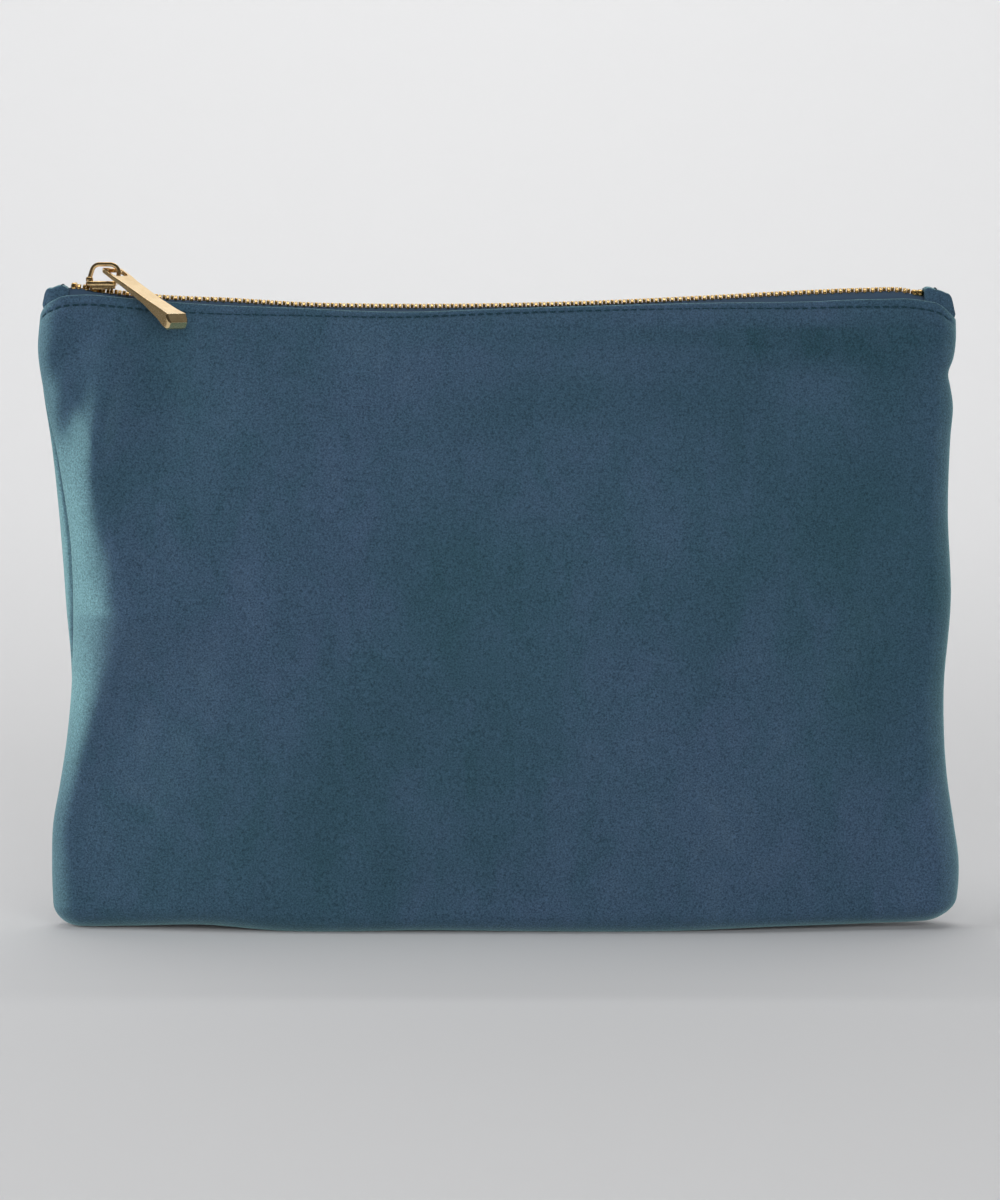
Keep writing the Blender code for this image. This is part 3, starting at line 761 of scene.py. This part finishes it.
def inner_layer(name, side, inward, thickness, slot_name, node):
    """A lining or interlining that follows the wall inside the velvet."""
    ends = np.linspace(0, 1, 11)
    kind = np.concatenate([np.zeros(10), np.ones(61), np.full(10, 2)])
    columns = (kind, np.concatenate([ends[:-1], np.linspace(0, 1, 61), ends[1:]]))
    top = np.full(kind.shape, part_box(node)[1].z)
    foot = wall_points(side, columns, np.full_like(top, inward), inward)
    rows = []
    for f in np.linspace(0.02, 1, 6)[:-1]:
        row = foot.copy()
        row[:, 1] *= f
        rows.append(row)
    for angle in np.linspace(0, pi / 2, 6)[:-1]:
        z = BASE_RADIUS - (BASE_RADIUS - inward) * cos(angle)
        rows.append(wall_points(side, columns, np.full_like(top, z), inward))
    for f in np.linspace(0, 1, 50):
        rows.append(wall_points(side, columns, BASE_RADIUS + (top - BASE_RADIUS) * f, inward))
    layer = grid_object(name, np.array(rows), MATERIALS[slot_name], flip=side > 0)
    thicken(layer, thickness)
    for vertex in layer.data.vertices:
        vertex.co.y = side * max(side * vertex.co.y, 0.15 * MM)
    return finish_piece(layer, "pouch", slot_name, node)


def tube_points(path, radius, sides=8):
    """Rings round a path, for a thread."""
    path = np.array(path, float)
    along = np.gradient(path, axis=0)
    along /= np.linalg.norm(along, axis=1, keepdims=True)
    up = np.array([0.0, 0.0, 1.0])
    rings = []
    for p, a in zip(path, along):
        s = np.cross(a, up if abs(a[2]) < 0.9 else np.array([1.0, 0.0, 0.0]))
        s /= np.linalg.norm(s)
        n = np.cross(s, a)
        angles = 2 * pi * np.arange(sides) / sides
        rings.append([p + radius * (cos(w) * s + sin(w) * n) for w in angles])
    return rings


def join_parts(name, parts, material):
    """One object from many (points, faces) parts."""
    points, faces = [], []
    for part_points, part_faces in parts:
        start = len(points)
        points += [tuple(p) for p in part_points]
        faces += [tuple(start + i for i in face) for face in part_faces]
    return add_mesh(name, points, faces, material)


def capsule(start, end, radius, sides=8):
    """A short stitch between two points, with round ends."""
    start, end = np.array(start, float), np.array(end, float)
    steps = [(0.0, 0.15), (0.04, 0.6), (0.14, 1.0), (0.5, 1.1), (0.86, 1.0), (0.96, 0.6), (1.0, 0.15)]
    along = (end - start) / np.linalg.norm(end - start)
    s = np.cross(along, (0.0, 0.0, 1.0))
    s /= np.linalg.norm(s)
    n = np.cross(s, along)
    points = []
    for t, grow in steps:
        p = start + (end - start) * t
        for k in range(sides):
            w = 2 * pi * k / sides
            points.append(p + radius * grow * (cos(w) * s + sin(w) * n))
    return points, tube_faces(len(steps), sides)


def topstitch(name, side, node):
    """The stitches in the groove under the rim, one capsule for each."""
    columns = column_kinds()
    top = rim_heights(side, columns)
    along = wall_points(side, columns, top)[..., 0]
    line = wall_points(side, columns, top + HEM_RADIUS - STITCH_DROP(along))
    step = np.linalg.norm(np.diff(line, axis=0), axis=1)
    reach = np.concatenate([[0.0], np.cumsum(step)])
    count = int(reach[-1] / STITCH_PITCH)
    parts = []
    for i in range(2, count - 2):
        ends = []
        for f in (0.13, 0.87):
            at = (i + f) * STITCH_PITCH
            p = np.array([np.interp(at, reach, line[:, k]) for k in range(3)])
            p[1] += side * 0.10 * MM
            ends.append(p)
        parts.append(capsule(ends[0], ends[1], 0.27 * MM))
    return finish_piece(join_parts(name, parts, MATERIALS["thread"]), "pouch", "thread", node)


def seam_thread(name, path, node):
    """A seam's own thread, inside the wall."""
    rings = tube_points(path, 0.25 * MM)
    thread = loft(name, rings, MATERIALS["thread"])
    return finish_piece(thread, "pouch", "thread", node)


def seams():
    """Side and bottom seam threads, just inside the linings."""
    inside = 3.9 * MM
    heights = np.linspace(12 * MM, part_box("left_side_seam")[1].z, 24)
    left = [(-(float(LEFT_EDGE(z)) - inside), 0.0, z) for z in heights]
    right = [(float(RIGHT_EDGE(z)) - inside, 0.0, z) for z in heights]
    seam_thread("left_seam_thread", left, "left_side_seam")
    seam_thread("right_seam_thread", right, "right_side_seam")
    low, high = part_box("bottom_seam")
    reach = np.linspace(low.x, high.x, 40)
    bottom = [(x, 0.0, high.z + float(BASE_LIFT(x))) for x in reach]
    seam_thread("bottom_seam_thread", bottom, "bottom_seam")


# ------------------------------------------------------------------- the zip

TOOTH_LEAN = radians(26.0)      # each row slopes down from the ridge


def tooth_shape():
    """One tooth: a head that hooks past the middle and a leg on the tape."""
    stations = [
        (-0.52, 0.30, 0.52), (-0.42, 0.44, 0.78), (-0.05, 0.52, 0.96), (0.30, 0.50, 1.02),
        (0.62, 0.44, 1.12), (1.70, 0.46, 1.16), (2.05, 0.40, 1.04), (2.20, 0.28, 0.80),
    ]
    points = []
    for y, w, h in stations:
        points += [(x * MM, y * MM, z * MM) for x, z in chamfered(w, -h, h, 0.34 * w)]
    return np.array(points), tube_faces(len(stations), 8)


def row_spread(x):
    """How far a row is parted where it runs round the slider's post."""
    start, length, most = -113.5 * MM, 6.0 * MM, 1.3 * MM
    t = np.clip((start - x) / length, 0.0, 1.0)
    return most * smooth(t)


def teeth_row(name, side, node):
    """All the teeth of one row, following the chain's own sag."""
    shape, faces = tooth_shape()
    if side < 0:
        faces = [face[::-1] for face in faces]
    y = shape[:, 1] * cos(-TOOTH_LEAN) - shape[:, 2] * sin(-TOOTH_LEAN)
    z = shape[:, 1] * sin(-TOOTH_LEAN) + shape[:, 2] * cos(-TOOTH_LEAN)
    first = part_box(node)[0].x + 0.43 * MM
    parts = []
    for i in range(TEETH):
        x = first + i * TOOTH_PITCH
        slope = float(CHAIN(x + MM) - CHAIN(x - MM)) / (2 * MM)
        placed = np.stack([
            x + shape[:, 0] - slope * z,
            side * (y + row_spread(x)),
            float(CHAIN(x)) + z + slope * shape[:, 0],
        ], axis=-1)
        parts.append((placed, faces))
    row = join_parts(name, parts, MATERIALS["gold_teeth"])
    row.data.set_sharp_from_angle(angle=radians(40.0))
    return finish_piece(row, "pouch", "gold_teeth", node)


def zip_tape(name, side, node):
    """A tape from the teeth's roots down inside the panel's turned edge."""
    low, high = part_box(node)
    xs = np.linspace(low.x - 0.6 * MM, high.x + 0.8 * MM, 300)
    near_slider = np.exp(-(((xs - SLIDER_BOX[0].x - 5 * MM) / (9 * MM)) ** 2))
    chain = CHAIN(xs)
    rim = RIM(xs)
    out = 1.35 * MM + row_spread(xs)
    lines = [
        (out, chain - 0.55 * MM),
        (out + 0.9 * MM, chain - 0.95 * MM),
        (3.55 * MM + 0 * xs, chain - (1.7 - 1.0 * near_slider) * MM),
        (4.15 * MM + 0 * xs, np.minimum(chain - 2.3 * MM, rim - 0.8 * MM)),
        (4.32 * MM + 0 * xs, rim - 4.5 * MM),
        (4.35 * MM + 0 * xs, rim - 12 * MM),
    ]
    rows = []
    for place in np.linspace(0, len(lines) - 1, 26):
        ys = curve_stack([line[0] for line in lines], place)
        zs = curve_stack([line[1] for line in lines], place)
        rows.append(np.stack([xs, side * ys, zs], axis=-1))
    strip = grid_object(name, np.array(rows), MATERIALS["zip_tape"], flip=side < 0)
    thicken(strip, 0.45 * MM, 0.0)
    return finish_piece(strip, "pouch", "zip_tape", node)


def curve_stack(values, place):
    """A smooth value between arrays that stand at 0, 1, 2 ..."""
    i = int(min(max(place, 0), len(values) - 1.0001))
    before, after = values[max(i - 1, 0)], values[min(i + 2, len(values) - 1)]
    a, b = values[i], values[i + 1]
    return hermite(place - i, a, b, 0.5 * (b - before), 0.5 * (after - a))


def stop_piece(name, node, lumps):
    """A zip stop: a strip of metal wrapped round the tape's edge."""
    low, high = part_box(node)
    centre, half = (low + high) / 2, (high - low) / 2
    lift = float(CHAIN(centre.x)) - CHAIN_Z
    length = 2 * half.x + (0.9 * MM if centre.x > 0 else 0.0)
    rings = []
    for i in range(lumps * 6 + 1):
        t = i / (lumps * 6)
        pinch = 0.84 + 0.16 * abs(sin(pi * t * lumps)) ** 0.5
        edge = min(1.0, 0.6 + 4 * min(t, 1 - t))
        section = oval(16, half.y * pinch * edge, half.z * pinch * edge, 0.6, 0.6)
        rings.append([(low.x + length * t, centre.y + y, centre.z + lift + z) for y, z in section])
    stop = loft(name, rings, MATERIALS["gold_teeth"])
    stop.data.set_sharp_from_angle(angle=radians(50.0))
    return finish_piece(stop, "pouch", "gold_teeth", node)


# --------------------------------------------------------- slider and puller

def arc(cx, cz, radius, start, end, steps):
    """Points on an arc in the XZ plane, angles in degrees."""
    return [
        (cx + radius * cos(radians(start + (end - start) * i / steps)),
         cz + radius * sin(radians(start + (end - start) * i / steps)))
        for i in range(steps + 1)
    ]


def swept_strip(name, path, half, middle, material):
    """A strip with round edges along an (x, z) path."""
    path = np.array(path)
    along = np.gradient(path, axis=0)
    along /= np.linalg.norm(along, axis=1, keepdims=True)
    section = oval(20, half, middle, 0.45, 0.6)
    rings = [
        [(x - az * through, across, z + ax * through) for across, through in section]
        for (x, z), (ax, az) in zip(path, along)
    ]
    return loft(name, rings, material)


def slider_bridge():
    """The bent strip over the slider, rounded on all its edges."""
    low, high = BRIDGE_BOX
    middle = 0.66 * MM
    half = 0.5 * (high.y - low.y)
    foot, top = SLIDER_TOP - 0.3 * MM, high.z - middle
    left, right = low.x + middle - 0.4 * MM, high.x - middle + 0.2 * MM
    near, far = 2.3 * MM, 2.5 * MM
    path = [(left, foot), (left + 0.35 * MM, foot + 1.4 * MM)]
    path += arc(left + 0.95 * MM + near, top - near, near, 160, 90, 8)
    path += arc(right - far, top - far, far, 90, -8, 9)
    path += [(right - 0.25 * MM, foot + 0.9 * MM), (right - 0.3 * MM, foot)]
    strip = swept_strip("bridge_strip", path, half, middle, MATERIALS["gold_slider"])
    return finish_piece(strip, "slider", "gold_slider", "slider_bridge")


def rounded_plate(outline, z_low, z_high, edge, steps=4):
    """Rings of a plate with rolled edges, from an outline with (x, y) rows."""
    outline = np.array(outline)
    centre = outline.mean(axis=0)
    reach = np.linalg.norm(outline - centre, axis=1, keepdims=True)
    inward = (centre - outline) / reach
    rings = []
    for i in range(steps + 1):
        a = pi / 2 * i / steps
        rings.append((outline + inward * edge * (1 - sin(a)), z_low + edge * (1 - cos(a))))
    for i in range(steps + 1):
        a = pi / 2 * i / steps
        rings.append((outline + inward * edge * (1 - cos(a)), z_high - edge * (1 - sin(a))))
    return [[(x, y, z) for x, y in flat] for flat, z in rings]


def slider_plan():
    """The slider's plan: two round shoulders with a notch, and a narrow mouth."""
    low, high = SLIDER_BOX
    wide, narrow = high.y - 0.1 * MM, 3.4 * MM
    left, right = low.x + 1.6 * MM, high.x - 0.8 * MM
    half = [(left + 0.9 * MM, 0.0), (left + 0.75 * MM, 0.9 * MM)]
    half += arc(left + 1.4 * MM, wide - 1.4 * MM, 1.4 * MM, 200, 90, 9)
    half += [(left + 3.2 * MM, wide - 0.05 * MM), (left + 4.6 * MM, 0.5 * (wide + narrow))]
    half += [(left + 6.0 * MM, narrow + 0.05 * MM)]
    half += arc(right - 0.9 * MM, narrow - 0.9 * MM, 0.9 * MM, 90, 0, 5)
    return half + [(x, -y) for x, y in reversed(half[1:])]


def slider_shell():
    """Two domed plates on a post; the upper one has its edges turned down."""
    low, high = SLIDER_BOX
    plan = slider_plan()
    left = min(x for x, _ in plan)
    gold = MATERIALS["gold_slider"]
    parts = [
        loft("slider_top", rounded_plate(plan, TOP_PLATE_UNDERSIDE, SLIDER_TOP, 0.45 * MM), gold),
        loft("slider_bottom", rounded_plate(plan, low.z, low.z + 1.2 * MM, 0.4 * MM), gold),
    ]
    for side in (-1, 1):
        flange = [(left + 1.7 * MM, side * 3.45 * MM), (left + 1.9 * MM, side * 4.2 * MM)]
        flange += [(left + 3.3 * MM, side * 4.2 * MM), (left + 5.9 * MM, side * 3.35 * MM)]
        flange += [(high.x - 1.5 * MM, side * 3.30 * MM), (high.x - 1.6 * MM, side * 2.75 * MM)]
        flange += [(left + 5.4 * MM, side * 2.80 * MM)]
        flange = flange[::side]
        parts.append(loft("flange", rounded_plate(flange, FLANGE_LOW, FLANGE_TOP, 0.2 * MM, 3), gold))
    post = [(left + 0.9 * MM, -0.8 * MM), (left + 2.9 * MM, -0.7 * MM), (left + 3.6 * MM, 0.0)]
    post += [(left + 2.9 * MM, 0.7 * MM), (left + 0.9 * MM, 0.8 * MM)]
    parts.append(loft("post", rounded_plate(post, low.z + 0.8 * MM, POST_TOP, 0.1 * MM, 2), gold))
    shell = join_objects("slider_shell", parts)
    shell.data.set_sharp_from_angle(angle=radians(48.0))
    return finish_piece(shell, "slider", "gold_slider", "slider_body")


def lug(name, x, reach):
    """A small rounded clamp that holds one foot of the bridge."""
    rings = []
    for i in range(9):
        a = -pi / 2 + pi * i / 8
        grow, lift = max(cos(a), 0.02) ** 0.5, bowed(sin(a), 0.7)
        z = SLIDER_TOP + 0.45 * MM + 0.85 * MM * lift
        rings.append([(x + px, py, z) for px, py in oval(16, reach * grow, 1.25 * MM * grow, 0.6, 0.6)])
    clamp = loft(name, rings, MATERIALS["gold_slider"])
    return finish_piece(clamp, "slider", "gold_slider")


def join_objects(name, objects):
    """Several mesh objects made one."""
    points, faces = [], []
    for obj in objects:
        start = len(points)
        points += [tuple(v.co) for v in obj.data.vertices]
        faces += [tuple(start + i for i in p.vertices) for p in obj.data.polygons]
        bpy.data.objects.remove(obj)
    return add_mesh(name, points, faces, MATERIALS["gold_slider"])


def puller_frame():
    """The puller's own axes at rest: along the bar, along the pin, upwards."""
    joint = [j for j in frame["joints"] if j["child"] == "puller"][0]
    pin = -Vector(joint["axis"]).normalized()
    pivot = Vector(joint["pos_m"])
    bar = Matrix.Rotation(PULLER_DIP, 3, pin) @ Vector((pin.y, -pin.x, 0.0))
    up = bar.cross(pin)
    return pivot, bar, pin, up


def puller():
    """A faceted bar that flares to its end, with an oval eye."""
    pivot, bar, pin, up = puller_frame()

    def place(s, y, z):
        """A point along the bar, across it and above it, in mm from the pin."""
        return tuple((bar * s + pin * y + up * z) * MM + pivot)

    # distance along the bar, half width, top, bottom (through the bar), chamfer
    stations = [
        (-0.62, 2.3, 0.40, -0.40, 0.14), (-0.30, 3.2, 0.54, -0.54, 0.18), (0.6, 3.7, 0.60, -0.60, 0.2),
        (5.6, 3.7, 0.62, -0.66, 0.2), (9.0, 3.3, 0.66, -0.70, 0.24), (20.5, 3.2, 0.9, -1.20, 0.36),
        (28.3, 3.45, 1.35, -2.20, 0.5), (31.7, 4.0, 1.65, -2.75, 0.6), (33.2, 3.8, 0.45, -2.75, 0.5),
        (33.8, 3.2, -0.15, -2.10, 0.3),
    ]
    rings = []
    for s, wide, top, bottom, cut in stations:
        rings.append([place(s, y, z) for y, z in chamfered(wide, bottom, top, cut)])
    body = loft("puller_bar", rings, None)
    near, far, side, corner = 0.6, 5.2, 2.75, 1.3       # the eye, in mm
    outline = arc(far - corner, side - corner, corner, 0, 90, 6)
    outline += arc(near + corner, side - corner, corner, 90, 180, 6)
    outline += [(s, -y) for s, y in reversed(outline)]
    cut_rings = [[place(s, y, z) for s, y in outline] for z in (-3.0, 3.0)]
    cutter = loft("eye_cutter", cut_rings, None)
    hole = body.modifiers.new("eye", "BOOLEAN")
    hole.object = cutter
    hole.solver = "EXACT"
    apply_modifiers(body)
    bpy.data.objects.remove(cutter)
    soften(body, 0.18 * MM, 3, 24.0)
    body.data.materials.clear()
    body.data.materials.append(MATERIALS["gold_puller"])
    return finish_piece(body, "puller", "gold_puller", "puller")


def slider():
    """The slider's plates, its bridge and the two clamps on the bridge's feet."""
    slider_shell()
    slider_bridge()
    low, high = BRIDGE_BOX
    lug("left_lug", low.x + 0.5 * MM, 1.1 * MM)
    lug("right_lug", high.x - 0.7 * MM, 0.9 * MM)


# ------------------------------------------------------------------ end tabs

# How far each tab's top falls, from its inner edge out to the bag's side.
LEFT_TAB_FALL = curve_through([
    (0, 1.4 * MM), (0.25, 0.5 * MM), (0.6, 1.2 * MM), (0.88, 2.5 * MM), (1.0, 6.0 * MM),
])
RIGHT_TAB_FALL = curve_through([
    (0, 1.4 * MM), (0.1, 1.0 * MM), (0.35, 1.6 * MM), (0.65, 2.6 * MM), (0.86, 4.2 * MM), (1.0, 9.0 * MM),
])


def end_tab(name, side, node):
    """A band of velvet folded over the zip's end."""
    low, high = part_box(node)
    inner_x = min(abs(low.x), abs(high.x)) - (1.5 * MM if side > 0 else 0.0)
    outer_x = max(abs(low.x), abs(high.x)) - 0.3 * MM
    top = high.z
    tab_fall = LEFT_TAB_FALL if side < 0 else RIGHT_TAB_FALL
    across, around = 26, 60
    rows = []
    for j in range(around + 1):
        v = -1 + 2 * j / around
        row = []
        for i in range(across + 1):
            u = i / across
            tucked = 2.2 * MM * min(max((abs(v) - 0.45) / 0.3, 0.0), 1.0)
            x = inner_x + (outer_x - tucked - inner_x) * u
            fall = float(tab_fall(u))
            lip = 1 - (2 * u - 1) ** 10
            reach = (5.2 + 0.35 * lip - 3.0 * max(0.0, (u - 0.6) / 0.4) ** 2) * MM
            angle = v * pi / 2
            y = reach * np.sign(sin(angle)) * abs(sin(angle)) ** 0.75
            drop = 11 * MM * max(0.0, abs(v) - 0.45) / 0.55
            crown = 2.2 * MM * (1 - cos(angle) ** 0.6)
            z = top - fall - crown - drop + 0.25 * MM * (lip - 1)
            row.append((side * x, y, z))
        rows.append(row)
    grid = np.array(rows)
    grid[..., 2] += ripple(grid[..., 0] * 3, grid[..., 1] * 3, 0.7) * 0.5
    tab = grid_object(name, grid, MATERIALS["velvet_tab"], flip=side < 0)
    thicken(tab, 1.3 * MM)
    soft = tab.modifiers.new("soft", "SUBSURF")
    soft.levels = soft.render_levels = 1
    apply_modifiers(tab)
    return finish_piece(tab, "pouch", "velvet_tab", node)


def tab_stitch(name, side, node):
    """A few stitches across the tab."""
    low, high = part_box(node)
    x = 0.5 * (low.x + high.x)
    tab = bpy.data.objects[("left" if side < 0 else "right") + "_tab"]
    points = np.array([v.co for v in tab.data.vertices])
    parts = []
    for i in range(-2, 2):
        ends = []
        for f in (0.15, 0.85):
            y = (i + f) * 2.0 * MM
            close = (np.abs(points[:, 0] - x) < 0.5 * MM) & (np.abs(points[:, 1] - y) < 0.5 * MM)
            z = points[close, 2].max() if close.any() else low.z
            ends.append((x, y, z + 0.02 * MM))
        parts.append(capsule(ends[0], ends[1], 0.2 * MM))
    return finish_piece(join_parts(name, parts, MATERIALS["thread"]), "pouch", "thread", node)


# --------------------------------------------------------------- the picture

FLOOR_FRONT, SWEEP_LENGTH, SWEEP_HALF_WIDTH = -1.6, 7.0, 2.6
BEND_START, BEND_RADIUS = 1.3, 0.9
CAMERA_DISTANCE = 1.3
CAMERA_RISE = radians(5.0)
VIEW_HEIGHT = 0.356             # of the picture, at the bag's middle
AIM_AHEAD = 0.010               # the camera aims just in front of the middle
SENSOR = 36.0


def backdrop():
    """Studio paper: level under the pouch, turned up into a wall behind it."""
    paper, tree, shader = new_material("studio_paper", (0.66, 0.66, 0.665), 0.9)
    grain = noise(tree, coordinates(tree), 300.0, 2.0)
    bump(tree, shader, grain, 0.05 * MM, 0.2)
    rows = []
    for t in np.linspace(0, 1, 60):
        run = FLOOR_FRONT + SWEEP_LENGTH * t
        if run < BEND_START:
            y, z = run, 0.0
        else:
            angle = min((run - BEND_START) / BEND_RADIUS, pi / 2)
            y = BEND_START + BEND_RADIUS * sin(angle)
            z = BEND_RADIUS * (1 - cos(angle)) + max(0.0, run - BEND_START - BEND_RADIUS * pi / 2)
        rows.append([(x, y, z) for x in np.linspace(-SWEEP_HALF_WIDTH, SWEEP_HALF_WIDTH, 20)])
    sweep = grid_object("studio_sweep", np.array(rows), paper)


def area_light(name, place, size, power, target):
    """A rectangular soft light, aimed at a point."""
    data = bpy.data.lights.new(name, "AREA")
    data.shape = "RECTANGLE"
    data.size, data.size_y = size
    data.energy = power
    lamp = bpy.data.objects.new(name, data)
    lamp.location = place
    lamp.rotation_euler = (Vector(target) - Vector(place)).to_track_quat("-Z", "Y").to_euler()
    bpy.context.scene.collection.objects.link(lamp)
    return lamp


def lights():
    """A key that grazes the front from the left, a front fill, a top light, a wash."""
    middle = (0.0, 0.0, 0.1)
    key = area_light("key_left", (-1.40, -0.16, 0.36), (0.5, 1.1), 16.5, middle)
    key.visible_glossy = False
    fill = area_light("fill_front", (0.35, -1.75, 0.45), (1.5, 1.0), 29.0, middle)
    fill.visible_glossy = False
    area_light("top", (0.1, 0.1, 1.6), (1.4, 0.9), 6.5, middle)
    area_light("backdrop_wash", (0.0, 1.1, 1.9), (2.8, 0.6), 35.0, (0.0, 2.2, 0.9))


def surroundings():
    """A faint light all round, brighter behind the pouch than in front of it."""
    world = bpy.data.worlds.new("studio")
    world.use_nodes = True
    tree = world.node_tree
    sky = tree.nodes["Background"]
    direction = tree.nodes.new("ShaderNodeTexCoord")
    parts = tree.nodes.new("ShaderNodeSeparateXYZ")
    tree.links.new(direction.outputs["Generated"], parts.inputs[0])
    glow = span(tree, parts.outputs["Y"], -0.8, 0.5, 0.06, 0.22)
    tree.links.new(glow, sky.inputs["Strength"])
    sky.inputs["Color"].default_value = (0.97, 0.985, 1.0, 1.0)
    bpy.context.scene.world = world


def camera():
    """A long lens, a little above level, straight at the front."""
    data = bpy.data.cameras.new("camera")
    data.sensor_fit = "VERTICAL"
    data.sensor_height = SENSOR
    data.lens = SENSOR * (CAMERA_DISTANCE + AIM_AHEAD) / VIEW_HEIGHT
    view = bpy.data.objects.new("camera", data)
    aim = Vector((0.0003, -AIM_AHEAD, 0.0983))
    view.location = aim + CAMERA_DISTANCE * Vector((0.0, -cos(CAMERA_RISE), sin(CAMERA_RISE)))
    view.rotation_euler = (aim - view.location).to_track_quat("-Z", "Y").to_euler()
    bpy.context.scene.collection.objects.link(view)
    bpy.context.scene.camera = view


def studio():
    """Everything in the picture but the pouch."""
    backdrop()
    lights()
    surroundings()
    camera()
    bpy.context.scene.view_settings.view_transform = "Standard"


FACES = ((-1, "front"), (1, "rear"))
ENDS = ((-1, "left"), (1, "right"))


def main():
    studio()
    panels = [velvet_panel(f"{face}_velvet", side, f"{face}_panel") for side, face in FACES]
    for cloth, inward, thickness, layer in (
        ("wadding", 1.4 * MM, 0.8 * MM, "interlining"),
        ("lining_cloth", 2.6 * MM, 0.5 * MM, "lining"),
    ):
        for side, face in FACES:
            name, node = f"{face}_{cloth}", f"{face}_{layer}"
            inner_layer(name, side, inward, thickness, layer, node)
    for side, face in FACES:
        topstitch(f"{face}_stitches", side, f"{face}_topstitch")
    seams()
    for side, face in FACES:
        teeth_row(f"{face}_teeth", side, f"{face}_teeth_row")
    tapes = [zip_tape(f"{face}_zip_tape", side, f"{face}_tape") for side, face in FACES]
    for _, face in FACES:
        stop_piece(f"{face}_stop", f"{face}_top_stop", 1)
    stop_piece("end_stop", "bottom_stop", 2)
    slider()
    puller()
    tabs = [end_tab(f"{end}_tab", side, f"{end}_end_tab") for side, end in ENDS]
    for side, end in ENDS:
        tab_stitch(f"{end}_tab_stitches", side, f"{end}_tab_stitch")


main()
